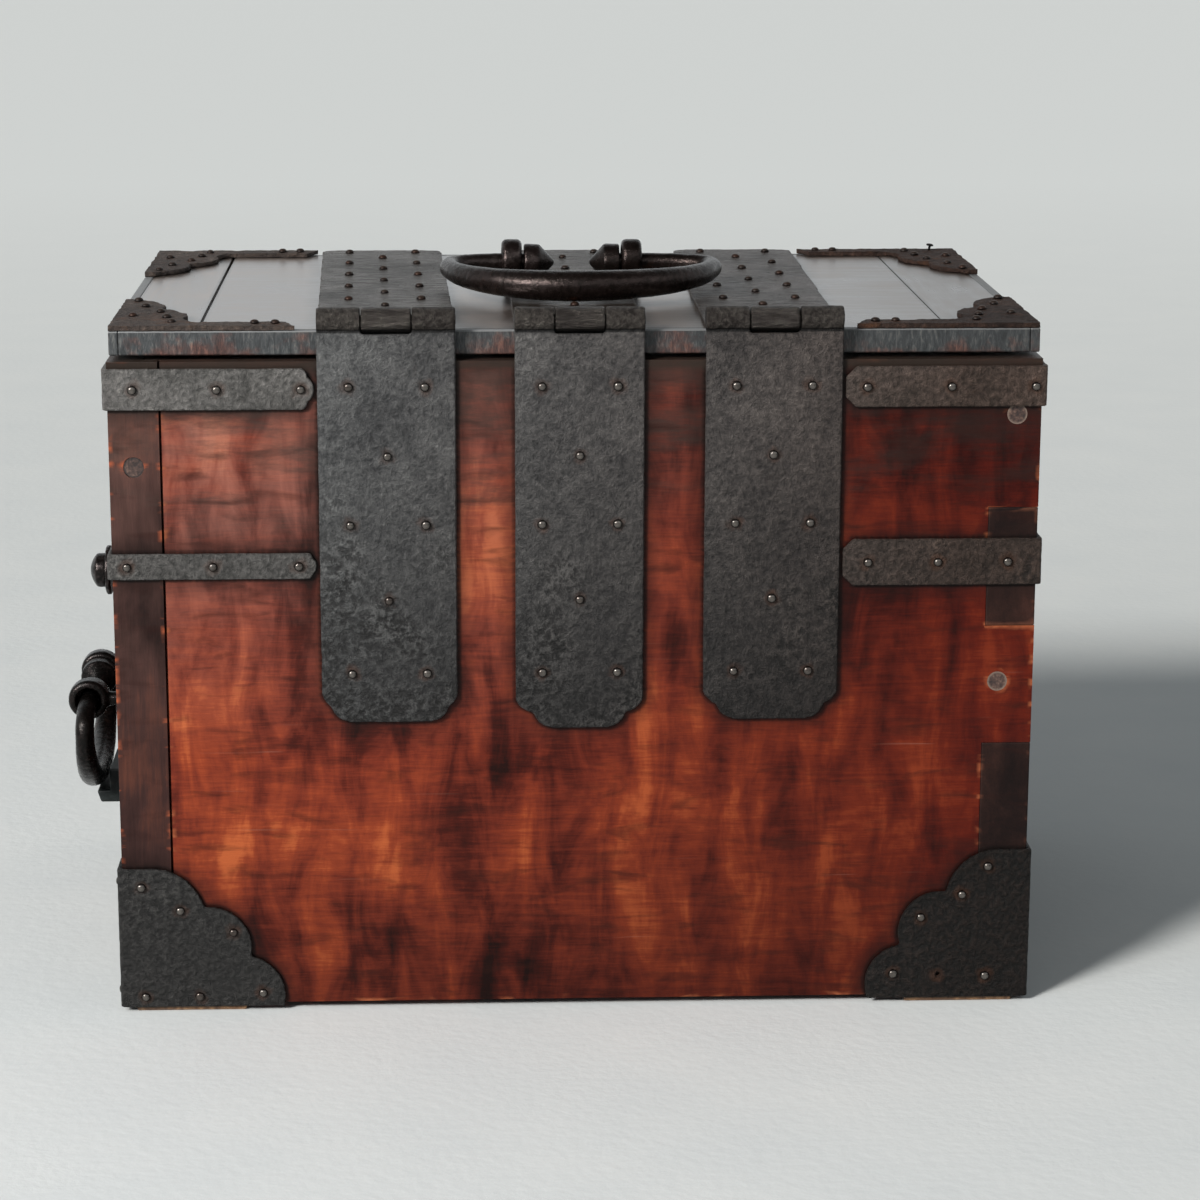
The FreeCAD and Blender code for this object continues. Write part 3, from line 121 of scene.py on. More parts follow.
def spread(tree, source, low, high, to_low=0.0, to_high=1.0):
    """A value's range stretched or squeezed to another one, and clamped."""
    return add(tree, "ShaderNodeMapRange", {"Value": source}, From_Min=low, From_Max=high,
               To_Min=to_low, To_Max=to_high)


def reckon(tree, operation, *values):
    """A value worked out from nodes and plain numbers."""
    links = {i: value for i, value in enumerate(values) if not isinstance(value, float)}
    plain = {"n%d" % i: value for i, value in enumerate(values) if isinstance(value, float)}
    return add(tree, "ShaderNodeMath", links, operation=operation, **plain)


def mottle(tree, place, **settings):
    """A noise texture over some coordinates."""
    return add(tree, "ShaderNodeTexNoise", {"Vector": place}, **settings)


def bump(tree, height, strength, distance):
    """A relief from a height, raised by a distance in metres."""
    return add(tree, "ShaderNodeBump", {"Height": height}, Strength=strength, Distance=distance)


def colours(tree, factor, *tones):
    """A ramp of evenly spaced sRGB tones."""
    ramp = add(tree, "ShaderNodeValToRGB", {"Fac": factor})
    elements = ramp.color_ramp.elements
    elements[0].color = linear(tones[0])
    elements[1].color = linear(tones[-1])
    for i, tone in enumerate(tones[1:-1], start=1):
        elements.new(i / (len(tones) - 1)).color = linear(tone)
    return ramp


def blend(tree, factor, under, over, kind="MIX"):
    """One colour over another. A colour is a node's or in hex, the factor a node's or a number."""
    links = {}
    plain = {}
    for socket, value in ((0, factor), (6, under), (7, over)):
        if isinstance(value, str):
            plain["n%d" % socket] = linear(value)
        elif isinstance(value, float):
            plain["n%d" % socket] = value
        else:
            links[socket] = value
    return add(tree, "ShaderNodeMix", links, data_type="RGBA", blend_type=kind, **plain).outputs[2]


def finish(material, tree, colour, relief, roughness, **settings):
    """The shader and output of a material. A setting is a number or a node that varies it."""
    settings["Roughness"] = roughness
    varied = {name: value for name, value in settings.items() if isinstance(value, bpy.types.Node)}
    links = {name.replace("_", " "): settings.pop(name) for name in varied}
    links.update({"Base Color": colour, "Normal": relief})
    surface = add(tree, "ShaderNodeBsdfPrincipled", links, **settings)
    add(tree, "ShaderNodeOutputMaterial", {"Surface": surface})
    return material


# Floated plaster: pale, cloudy and a little pitted, paler away from the lamp.
plaster, tree, place = new_material("floated_plaster")
clouds = mottle(tree, place, Scale=9.0, Detail=8.0, Roughness=0.6)
tone = colours(tree, spread(tree, clouds, 0.3, 0.7), PLASTER_SHADE, PLASTER)
split = add(tree, "ShaderNodeSeparateXYZ", {"Vector": place})
tone = blend(tree, spread(tree, split.outputs["Y"], 0.5, 4.0), tone, FAR_PLASTER)
pores = mottle(tree, place, Scale=140.0, Detail=4.0)
relief = bump(tree, pores, 0.15, 0.002)
finish(plaster, tree, tone, relief, 0.9, Specular_IOR_Level=0.0)

floor_mesh = bpy.data.meshes.new("floor")
ring = bmesh.new()
bmesh.ops.create_circle(ring, cap_ends=True, segments=64, radius=FLOOR_RADIUS)
ring.to_mesh(floor_mesh)
ring.free()
floor = bpy.data.objects.new("floor", floor_mesh)
floor_mesh.materials.append(plaster)
bpy.context.scene.collection.objects.link(floor)


def lamp(name, kind, place, target, power, colour, **settings):
    """Place a lamp of a kind so that it faces a point."""
    data = bpy.data.lights.new(name, kind)
    data.energy = power
    data.color = linear(colour)[:3]
    for key, value in settings.items():
        setattr(data, key, value)
    holder = bpy.data.objects.new(name, data)
    holder.location = place
    holder.rotation_euler = (Vector(target) - Vector(place)).to_track_quat("-Z", "Y").to_euler()
    bpy.context.scene.collection.objects.link(holder)


lamp("sun", "SUN", SUN_FROM, MIDDLE, SUN_POWER, "#fffaf4", angle=math.radians(SUN_SPREAD))
lamp("window", "AREA", LAMP_PLACE, LAMP_AIM, LAMP_POWER, "#fbfcff", shape="SQUARE", size=LAMP_SIZE)

world = bpy.data.worlds.new("studio_sky")
world.use_nodes = True
bpy.context.scene.world = world
tree = world.node_tree
tree.nodes.clear()
towards = add(tree, "ShaderNodeTexCoord").outputs["Generated"]
way = add(tree, "ShaderNodeSeparateXYZ", {"Vector": towards})
behind = spread(tree, way.outputs["Z"], 0.5, 0.85, WALL_SHEEN, CEILING_SHEEN)
window = spread(tree, way.outputs["Z"], 0.15, 0.4, STUDIO_SHEEN, WINDOW_SHEEN)
lintel = spread(tree, way.outputs["Z"], 0.6, 0.85, 1.0, CEILING_SHEEN / WINDOW_SHEEN)
ahead = reckon(tree, "MULTIPLY", window, lintel)
turned = spread(tree, way.outputs["Y"], -0.1, 0.1)
sheen = add(tree, "ShaderNodeMix", {"Factor": turned, 2: ahead, 3: behind}, data_type="FLOAT")
rays = add(tree, "ShaderNodeLightPath")
glossy = rays.outputs["Is Glossy Ray"]
strength = add(tree, "ShaderNodeMix", {"Factor": glossy, 3: sheen}, data_type="FLOAT", n2=SKY_LIGHT)
sky = add(tree, "ShaderNodeBackground", {"Strength": strength.outputs[0]}, Color=linear(SKY))
add(tree, "ShaderNodeOutputWorld", {"Surface": sky})

bpy.context.scene.view_settings.view_transform = "Standard"

# ---------------------------------------------------------------------------
# Walls: four boards of figured zelkova, wiped with thin red lacquer that has
# worn and darkened. The right-hand corners are finger-jointed, the left-hand
# board covers the ends of the long ones. Iron has stained the wood around it.
# Painted light and shade too: a sheen high on the left, shade towards the right and the foot, shade
# on the rim under the lid and a shadow right beside the iron.
# ---------------------------------------------------------------------------

MERGE_DISTANCE = 2e-6
FLAT_TURN = 0.5
SHARP_TURN = 30
BOARD_EDGE = 0.0008
BOARD_STEP = 0.006
PLATE_STEP = 0.0025
EDGE_STEP = 0.002
FINE_BAND = 7.0
FINE_CELL = 0.003
STAIN_REACH = 0.05
IRON_REACH = 0.02
PLATE_WORDS = ("body_leaf", "strap_hinge", "strap_lock", "foot_plate", "lid_plate", "lid_leaf",
               "key_plate")
PLATES = [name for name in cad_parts
          if any(word in name for word in PLATE_WORDS) and "nails" not in name]


def cad_copy(node):
    """A bmesh of a CAD node, its loose triangles merged and its flat facets joined."""
    mesh = bmesh.new()
    mesh.from_mesh(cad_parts[node].data)
    bmesh.ops.remove_doubles(mesh, verts=mesh.verts, dist=MERGE_DISTANCE)
    bmesh.ops.dissolve_limit(mesh, angle_limit=math.radians(FLAT_TURN), verts=mesh.verts,
                             edges=mesh.edges)
    return mesh


def make_piece(name, mesh, material, body, nodes, smooth=True):
    """Turn a bmesh into a piece that stands for some CAD nodes and rides on a body."""
    data = bpy.data.meshes.new(name)
    mesh.to_mesh(data)
    mesh.free()
    piece = bpy.data.objects.new(name, data)
    bpy.context.scene.collection.objects.link(piece)
    data.materials.append(material)
    if smooth:
        data.shade_smooth()
    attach(piece, body)
    if nodes:
        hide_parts(*nodes)


def sharp_edges(mesh):
    """The edges where a mesh turns sharply."""
    limit = math.radians(SHARP_TURN)
    return [e for e in mesh.edges if len(e.link_faces) == 2 and e.calc_face_angle() > limit]


def ease_edges(mesh, width, segments=2):
    """Round the sharp edges a little."""
    bmesh.ops.bevel(mesh, geom=sharp_edges(mesh), offset=width, segments=segments, profile=0.5,
                    affect="EDGES", clamp_overlap=True)


def cut_grid(mesh, step):
    """Cut a mesh by evenly spaced planes so that it can carry fine attributes."""
    corners = [v.co for v in mesh.verts]
    for axis in range(3):
        low = min(c[axis] for c in corners)
        high = max(c[axis] for c in corners)
        count = int((high - low) / step)
        for i in range(1, count):
            point = Vector((0, 0, 0))
            normal = Vector((0, 0, 0))
            point[axis] = low + (high - low) * i / count
            normal[axis] = 1
            geometry = mesh.verts[:] + mesh.edges[:] + mesh.faces[:]
            bmesh.ops.bisect_plane(mesh, geom=geometry, plane_co=point, plane_no=normal, dist=1e-6)


def point_tree(points):
    """A search tree over some points."""
    search = kdtree.KDTree(len(points))
    for i, point in enumerate(points):
        search.insert(point, i)
    search.balance()
    return search


def distance_attribute(mesh, name, search, limit):
    """Store each vertex's distance to the nearest point of a search tree, in millimetres."""
    layer = mesh.verts.layers.float.get(name) or mesh.verts.layers.float.new(name)
    for vert in mesh.verts:
        vert[layer] = min(search.find(vert.co)[2], limit) * 1000


def refine(mesh, names):
    """Divide the cells where an attribute is below the fine band, in millimetres."""
    layers = [mesh.verts.layers.float[name] for name in names]
    close = {v for v in mesh.verts if any(v[layer] < FINE_BAND for layer in layers)}
    edges = [e for e in mesh.edges
             if all(v in close for v in e.verts) and e.calc_length() > FINE_CELL]
    bmesh.ops.subdivide_edges(mesh, edges=edges, cuts=3, use_grid_fill=True)


def plate_points():
    """Points all over the iron plates."""
    points = []
    for node in PLATES:
        plate = cad_copy(node)
        cut_grid(plate, PLATE_STEP)
        points += [v.co.copy() for v in plate.verts]
        plate.free()
    return points


def edge_points(mesh, step):
    """Points along a mesh's sharp edges."""
    points = []
    for edge in sharp_edges(mesh):
        start, end = [v.co for v in edge.verts]
        count = max(1, int((end - start).length / step))
        points += [start.lerp(end, i / count) for i in range(count + 1)]
    return points


near_iron = point_tree(plate_points())


def worked_board(node, material, body, edge=BOARD_EDGE, step=BOARD_STEP):
    """A board from its CAD shape, with eased edges and the distances to iron and to edges."""
    board = cad_copy(node)
    searches = {"iron_near": near_iron, "edge_near": point_tree(edge_points(board, EDGE_STEP))}
    ease_edges(board, edge)
    cut_grid(board, step)
    for name, search in searches.items():
        distance_attribute(board, name, search, STAIN_REACH)
    refine(board, searches)
    for name, search in searches.items():
        distance_attribute(board, name, search, STAIN_REACH)
    make_piece(node + "_board", board, material, body, [node], smooth=False)


def grain(tree, place, axis):
    """Fine fibres and yearly rings along one axis, as two nodes."""
    along = {"x": (1, 14, 14), "y": (14, 1, 14), "z": (14, 14, 1)}[axis]
    run = add(tree, "ShaderNodeMapping", {"Vector": place}, Scale=along)
    fibres = mottle(tree, run, Scale=60.0, Detail=5.0, Roughness=0.7)
    bands = mottle(tree, run, Scale=1.4, Detail=3.0, Distortion=0.4)
    many = reckon(tree, "MULTIPLY", bands, 95.0)
    wave = reckon(tree, "SINE", many)
    return fibres, spread(tree, wave, -1.0, 1.0)


def scratches(tree, place, turn, scale):
    """Sparse thin scratches, all near one direction, as a mask."""
    run = add(tree, "ShaderNodeMapping", {"Vector": place}, Rotation=turn, Scale=(1, 26, 26))
    lines = mottle(tree, run, Scale=scale, Detail=2.0, Roughness=0.4)
    patches = mottle(tree, place, Scale=9.0, Detail=1.0)
    sparse = spread(tree, patches, 0.54, 0.68, 0.0, 0.45)
    thin = spread(tree, lines, 0.72, 0.79)
    return reckon(tree, "MULTIPLY", thin, sparse)


def near(tree, name, place, reach, fray, most, scale=60.0):
    """A share that is most beside what an attribute measures from and falls to 0 at a reach in
    millimetres, its margin frayed by noise."""
    distance = add(tree, "ShaderNodeAttribute", attribute_name=name)
    wobble = mottle(tree, place, Scale=scale, Detail=4.0)
    shifted = reckon(tree, "MULTIPLY_ADD", wobble, -fray, distance.outputs["Fac"])
    return spread(tree, shifted, -fray / 2, reach - fray / 2, most, 0.0)


FLAME_RANGE = (0.99, 1.57)
# painted shade towards the right
RIGHT_PAINTED_SHADE = "#a07c7a"
# painted sheen: a pale veil high on the left
PAINTED_SHEEN = "#8d6a60"
SOOT = "#40342f"
# soot darkened by the painted shade on the right
SOOT_IN_PAINTED_SHADE = "#241815"
DARK_SPOT = "#260f0a"
SCRATCH = "#80594c"
STAIN = "#170b09"
# painted shadow right beside the iron
IRON_PAINTED_SHADOW = "#060403"
# painted shade on the rim under the lid, and the height of its band
RIM_PAINTED_SHADE = "#2b241f"
RIM_PAINTED_SHADE_BAND = (0.3425, 0.3462)
DRIFT = (4, 4, 16)
SCRATCH_TURN = (0.15, 0.3, 0.2)
WOOD_SPECULAR = 0.14


def figured_wood(tree, place, axis, figure, tones):
    """The colour of figured wood, and the fibres, clouds and flames that it is made of."""
    fibres, rings = grain(tree, place, axis)
    figure_place = add(tree, "ShaderNodeMapping", {"Vector": place}, Scale=figure)
    flames = mottle(tree, figure_place, Scale=7.5, Detail=5.0, Roughness=0.58, Distortion=0.5)
    clouds = mottle(tree, place, Scale=8.0, Detail=5.0, Roughness=0.6)
    light = reckon(tree, "MULTIPLY_ADD", clouds, 1.2, flames)
    light = reckon(tree, "MULTIPLY_ADD", rings, 0.05, light)
    light = reckon(tree, "MULTIPLY_ADD", fibres, 0.3, light)
    return colours(tree, spread(tree, light, *FLAME_RANGE), *tones), fibres, clouds, flames


def painted_sheen_veil(tree, wood, split, flames, painted_sheen_share):
    """Wood under a painted sheen high on the left, a pale veil that stands for the lacquer's gloss
    there, patchy where the flames are.
    """
    veil_x = spread(tree, split.outputs["X"], -0.24, 0.1, 1.0, 0.0)
    veil_z = spread(tree, split.outputs["Z"], 0.14, 0.3, 0.0, 1.0)
    veil = reckon(tree, "MULTIPLY", veil_x, veil_z)
    patchy = reckon(tree, "MULTIPLY", veil, spread(tree, flames, 0.35, 0.65, painted_sheen_share / 7, painted_sheen_share))
    return blend(tree, patchy, wood, PAINTED_SHEEN)


def sooted(tree, wood, split, drift, painted_shade):
    """Wood with long drifts of soot under the rim, darker where shade is painted towards the right.
    """
    smoke = mottle(tree, drift, Scale=4.0, Detail=6.0, Roughness=0.65)
    rise = spread(tree, split.outputs["Z"], 0.2, 0.34, -0.3, 0.16)
    sooty = reckon(tree, "ADD", smoke, rise)
    soot = colours(tree, painted_shade, SOOT, SOOT_IN_PAINTED_SHADE)
    return blend(tree, spread(tree, sooty, 0.49, 0.69, 0.0, 0.8), wood, soot)


def lacquered_zelkova(name, axis, figure, tones, worn, painted_sheen_share, gloss=0.34):
    """Figured wood under thin lacquer: flames across the grain, fibres along it, a dark stain
    beside the iron, worn edges, a painted sheen high on the left, painted shade towards the
    right and the foot, a painted shadow right beside the iron and painted shade on the rim
    under the lid."""
    material, tree, place = new_material(name)
    split = add(tree, "ShaderNodeSeparateXYZ", {"Vector": place})
    drift = add(tree, "ShaderNodeMapping", {"Vector": place}, Scale=DRIFT)
    wood, fibres, clouds, flames = figured_wood(tree, place, axis, figure, tones)
    # painted light and shade: lighter on the left, darker on the right and towards the foot
    painted_shade = spread(tree, split.outputs["X"], -0.12, 0.21)
    painted_foot_shade = spread(tree, split.outputs["Z"], 0.0, 0.12, 0.6, 1.0)
    wood = blend(tree, painted_shade, wood, blend(tree, 1.0, wood, RIGHT_PAINTED_SHADE, "MULTIPLY"))
    wood = blend(tree, 1.0, wood, painted_foot_shade, "MULTIPLY")
    # a painted sheen high on the left, then soot darkened by the painted shade
    wood = painted_sheen_veil(tree, wood, split, flames, painted_sheen_share)
    wood = sooted(tree, wood, split, drift, painted_shade)
    # dark spots, light scratches, worn edges, iron stain, a painted shadow right beside the iron,
    # painted shade on the rim under the lid
    spots = mottle(tree, drift, Scale=8.0, Detail=5.0, Distortion=0.6)
    wood = blend(tree, spread(tree, spots, 0.54, 0.74, 0.0, 0.6), wood, DARK_SPOT)
    marks = scratches(tree, place, SCRATCH_TURN, 16.0)
    wood = blend(tree, marks, wood, SCRATCH)
    rubbed = near(tree, "edge_near", place, reach=2.5, fray=4.0, most=1.0, scale=90.0)
    broken = spread(tree, spots, 0.54, 0.64, 0.0, 0.8)
    wood = blend(tree, reckon(tree, "MULTIPLY", rubbed, broken), wood, worn)
    stain = near(tree, "iron_near", place, reach=10.0, fray=8.0, most=0.55)
    # painted shadow right beside the iron plates
    painted_iron_shadow = near(tree, "iron_near", place, reach=2.2, fray=0.7, most=0.95)
    wood = blend(tree, stain, wood, STAIN)
    wood = blend(tree, painted_iron_shadow, wood, IRON_PAINTED_SHADOW)
    # painted shade on the rim under the lid
    wood = blend(tree, spread(tree, split.outputs["Z"], *RIM_PAINTED_SHADE_BAND, 0.0, 0.85), wood, RIM_PAINTED_SHADE)
    height = reckon(tree, "MULTIPLY_ADD", marks, -0.6, fibres)
    rough = spread(tree, clouds, 0.3, 0.7, gloss - 0.06, gloss + 0.14)
    return finish(material, tree, wood, bump(tree, height, 0.35, 0.0006), rough,
                  Specular_IOR_Level=WOOD_SPECULAR)


FACE_TONES = ("#1e0805", "#45160e", "#6a291a", "#873920", "#ad5730")
STRIP_TONES = ("#0f0908", "#221412", "#36221f", "#523026")
END_TONES = ("#151111", "#2b2320", "#40362f", "#584940")
long_board = lacquered_zelkova("wiped_lacquer_long_grain", "x", (7, 7, 2.2), FACE_TONES,
                               worn="#a05a3a", painted_sheen_share=0.7)
upright_board = lacquered_zelkova("wiped_lacquer_upright_grain", "z", (3, 7, 1.6), STRIP_TONES,
                                  worn="#a8583a", painted_sheen_share=0.25)
end_grain_board = lacquered_zelkova("wiped_lacquer_end_grain", "y", (7, 7, 2.2), END_TONES,
                                    worn="#5f3a2b", painted_sheen_share=0.3, gloss=0.5)

worked_board("hinge_board", long_board, "chest")
worked_board("lock_board", long_board, "chest")
worked_board("left_board", upright_board, "chest")
worked_board("right_board", end_grain_board, "chest")

# ---------------------------------------------------------------------------
# Joint plugs: round wooden plugs over the joints' pegs, flush with the faces,
# with end grain that took the lacquer darker.
# ---------------------------------------------------------------------------

PLUG_EDGE_STEP = 0.0006
PLUG_STEP = 0.0012


def plug_wood():
    """End grain. The rim is a dark line on the left and worn light on the right."""
    material, tree, place = new_material("worn_plug_end_grain")
    rim = add(tree, "ShaderNodeAttribute", attribute_name="edge_near")
    pores = mottle(tree, place, Scale=700.0, Detail=3.0)
    cracks = mottle(tree, place, Scale=260.0, Detail=2.0, Distortion=1.0)
    both = reckon(tree, "ADD", pores, cracks)
    tone = colours(tree, spread(tree, both, 0.75, 1.3), "#231613", "#43302a", "#6b5549")
    split = add(tree, "ShaderNodeSeparateXYZ", {"Vector": place})
    ring = colours(tree, spread(tree, split.outputs["X"], -0.1, 0.1), "#0f0b0a", "#75655a")
    tone = blend(tree, spread(tree, rim.outputs["Fac"], 0.3, 1.2, 0.8, 0.0), tone, ring)
    relief = bump(tree, both, 0.4, 0.0004)
    return finish(material, tree, tone, relief, 0.6)


plugs = cad_copy("joint_plugs")
plug_edges = point_tree(edge_points(plugs, PLUG_EDGE_STEP))
cut_grid(plugs, PLUG_STEP)
distance_attribute(plugs, "edge_near", plug_edges, IRON_REACH)
make_piece("joint_plug_ends", plugs, plug_wood(), "chest", ["joint_plugs"], smooth=False)

# ---------------------------------------------------------------------------
# Lid boards: a wide panel between two cleats, dark lacquer with a sheen and painted light on the
# left.
# Thin strips round the edges hide the cleats' ends; they are scraped bare.
# ---------------------------------------------------------------------------

LID_BOARD_EDGE = 0.0006
LID_STRIP_EDGE = 0.00075


def lid_lacquer(name, axis):
    """Dark lacquer with long fibres that show as faint streaks in its sheen, with painted light that
    makes it paler on the left and painted shade to the right, and a duller coat on the right."""
    material, tree, place = new_material(name)
    fibres, rings = grain(tree, place, axis)
    clouds = mottle(tree, place, Scale=16.0, Detail=4.0, Roughness=0.6)
    light = reckon(tree, "MULTIPLY_ADD", rings, 0.15, clouds)
    light = reckon(tree, "MULTIPLY_ADD", fibres, 0.35, light)
    wood = colours(tree, spread(tree, light, 0.45, 0.95), "#332c28", "#4c443f", "#635952")
    split = add(tree, "ShaderNodeSeparateXYZ", {"Vector": place})
    # painted light on the left, painted shade to the right
    painted_falloff = spread(tree, split.outputs["X"], -0.24, 0.2, 1.8, 0.9)
    wood = blend(tree, 1.0, wood, painted_falloff, "MULTIPLY")
    stain = near(tree, "iron_near", place, reach=9.0, fray=8.0, most=0.7)
    seam = near(tree, "edge_near", place, reach=2.2, fray=0.8, most=0.95, scale=45.0)
    wood = blend(tree, stain, wood, "#1d1613")
    wood = blend(tree, seam, wood, "#0b0908")
    relief = bump(tree, light, 0.02, 0.0004)
    rough = spread(tree, light, 0.4, 1.0, 0.22, 0.42)
    coat = spread(tree, split.outputs["X"], 0.06, 0.24, 0.7, 0.3)
    return finish(material, tree, wood, relief, rough, IOR=1.6, Coat_Weight=coat, Coat_IOR=1.55,
                  Coat_Roughness=0.2)


def scraped_edge():
    """The lid's edges: blue-grey grime scraped upright, red-brown wood showing low down, a painted
    sheen along the top and painted shade towards the right.
    """
    material, tree, place = new_material("scraped_lid_edge")
    split = add(tree, "ShaderNodeSeparateXYZ", {"Vector": place})
    upright = add(tree, "ShaderNodeMapping", {"Vector": place}, Rotation=(0.0, 0.2, 0.0),
                  Scale=(1, 1, 0.25))
    scrapes = mottle(tree, upright, Scale=620.0, Detail=5.0, Roughness=0.75, Distortion=0.6)
    clouds = mottle(tree, place, Scale=42.0, Detail=5.0, Roughness=0.65)
    low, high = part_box("hinge_side_lid_strip")
    rise = spread(tree, split.outputs["Z"], low[2], high[2], 0.06, -0.06)
    grime = colours(tree, spread(tree, scrapes, 0.3, 0.72), "#141617", "#35383a", "#62625f")
    bare = colours(tree, spread(tree, scrapes, 0.3, 0.72), "#1f100d", "#4d2d25", "#7d4e3d")
    share = reckon(tree, "ADD", clouds, rise)
    wood = blend(tree, spread(tree, share, 0.48, 0.62, 0.0, 0.8), grime, bare)
    seam = near(tree, "edge_near", place, reach=1.1, fray=0.8, most=0.85, scale=80.0)
    wood = blend(tree, seam, wood, "#12100f")
    # a paler grey along the top face: partly its own colour, partly painted sheen
    crown = spread(tree, split.outputs["Z"], high[2] - 0.0009, high[2] - 0.0004, 0.0, 0.8)
    wood = blend(tree, crown, wood, "#77797a")
    # painted light on the left, painted shade to the right
    painted_falloff = spread(tree, split.outputs["X"], -0.24, 0.24, 1.1, 0.7)
    wood = blend(tree, 1.0, wood, painted_falloff, "MULTIPLY")
    relief = bump(tree, scrapes, 0.5, 0.0005)
    return finish(material, tree, wood, relief, 0.5)


lid_wood = lid_lacquer("lid_lacquer_long_grain", "x")
lid_cross_wood = lid_lacquer("lid_lacquer_cross_grain", "y")
lid_edge_wood = scraped_edge()
worked_board("lid_panel", lid_wood, "lid", LID_BOARD_EDGE)
for side in ("left", "right"):
    worked_board(side + "_cleat", lid_cross_wood, "lid", LID_BOARD_EDGE)
for strip in ("left_lid_strip", "right_lid_strip", "hinge_side_lid_strip", "lock_side_lid_strip"):
    worked_board(strip, lid_edge_wood, "lid", LID_STRIP_EDGE)

# ---------------------------------------------------------------------------
# Nails' places: every nail's head, read off the CAD nails, for the rust
# around them and for the heads themselves.
# ---------------------------------------------------------------------------

HEAD_RADIUS = 0.0027
HEAD_RISE = 0.0019
NAIL_NODES = {
    "body_leaf_nails": "chest",
    "strap_nails": "chest",
    "foot_plate_nails": "chest",
    "key_plate_nails": "chest",
    "lid_leaf_nails": "lid",
    "lid_plate_nails": "lid",
}


def solids_of(node):
    """The vertices of each separate solid of a CAD node, always in the mesh's own order, since
    each nail's chance goes by its place in the row."""
    mesh = cad_copy(node)
    seen = set()
    for first in mesh.verts:
        if first in seen:
            continue
        seen.add(first)
        solid = [first]
        for vert in solid:
            beside = [edge.other_vert(vert) for edge in vert.link_edges]
            fresh = [other for other in beside if other not in seen]
            seen.update(fresh)
            solid.extend(fresh)
        yield [vert.co.copy() for vert in solid]
    mesh.free()


def nail_seat(points):
    """Where a nail's head sits and which way it faces: the axis is its longest extent, and the
    head is at its thicker end."""
    low = Vector([min(p[i] for p in points) for i in range(3)])
    high = Vector([max(p[i] for p in points) for i in range(3)])
    size = high - low
    axis = max(range(3), key=lambda i: size[i])
    middle = (low + high) / 2
    side = (axis + 1) % 3
    widest = max(points, key=lambda p: abs(p[side] - middle[side]))
    facing = Vector((0, 0, 0))
    facing[axis] = 1 if widest[axis] > middle[axis] else -1
    return middle + facing * (size[axis] / 2 - HEAD_RISE), facing


nail_seats = {node: [nail_seat(solid) for solid in solids_of(node)] for node in NAIL_NODES}
near_nail = point_tree([place for seats in nail_seats.values() for place, facing in seats])

# ---------------------------------------------------------------------------
# Hinge leaves, straps and foot plates: plates forged by hand, black once and
# now grey, pitted and speckled, with rust round the nails and rolled or eased
# edges. The barrels are the leaves' own knuckles.
# ---------------------------------------------------------------------------

LEAF_VOXEL = 0.001
STRAP_VOXEL = 0.0008
HAMMERING = 0.0003
SOFTENING = 0.5
DENT_SCALE = 70
DENT_FADE = 0.9
DENT_GAP = 2.0
DENT_OCTAVES = 3
BARREL_SEAM = 0.3649
BARREL_BACK = -0.1486
BACK_BLUR = 0.0008
SEAM_HALF = 0.0006
SEAM_END = 0.0014
RUBBED_TONES = ("#12100e", "#302c2a", "#4b4743", "#746f6a")
# painted shade towards the right, with a brown cast
BROWN_PAINTED_SHADE = "#bfa498"
DAMP_PIT = "#0c0b0a"
NAIL_RUST = "#52321f"
# painted shadow round each nail head
NAIL_RING_PAINTED_SHADOW = "#0f0d0c"
# painted shade along the plates' edges
PAINTED_EDGE_SHADE = "#100e0d"
# painted shadow under the barrels
BARREL_PAINTED_SHADOW = "#060505"


def rolled_barrel(tree, iron, split, light):
    """Iron that is rubbed bright where it is rolled up, with a painted shadow line under the roll
    where it leaves its leaf, and the share that is rolled."""
    outer = spread(tree, split.outputs["Y"], BARREL_BACK - BACK_BLUR, BARREL_BACK, 1.0, 0.0)
    upper = spread(tree, split.outputs["Z"], BARREL_SEAM, BARREL_SEAM + SEAM_HALF)
    rolled = reckon(tree, "MULTIPLY", outer, upper)
    iron = blend(tree, rolled, iron, colours(tree, spread(tree, light, 0.5, 1.3), *RUBBED_TONES))
    # painted shadow line under the barrel
    away = reckon(tree, "ABSOLUTE", reckon(tree, "SUBTRACT", split.outputs["Z"], BARREL_SEAM))
    beside = spread(tree, away, SEAM_HALF, SEAM_END, 0.95, 0.0)
    return blend(tree, reckon(tree, "MULTIPLY", outer, beside), iron, BARREL_PAINTED_SHADOW), rolled


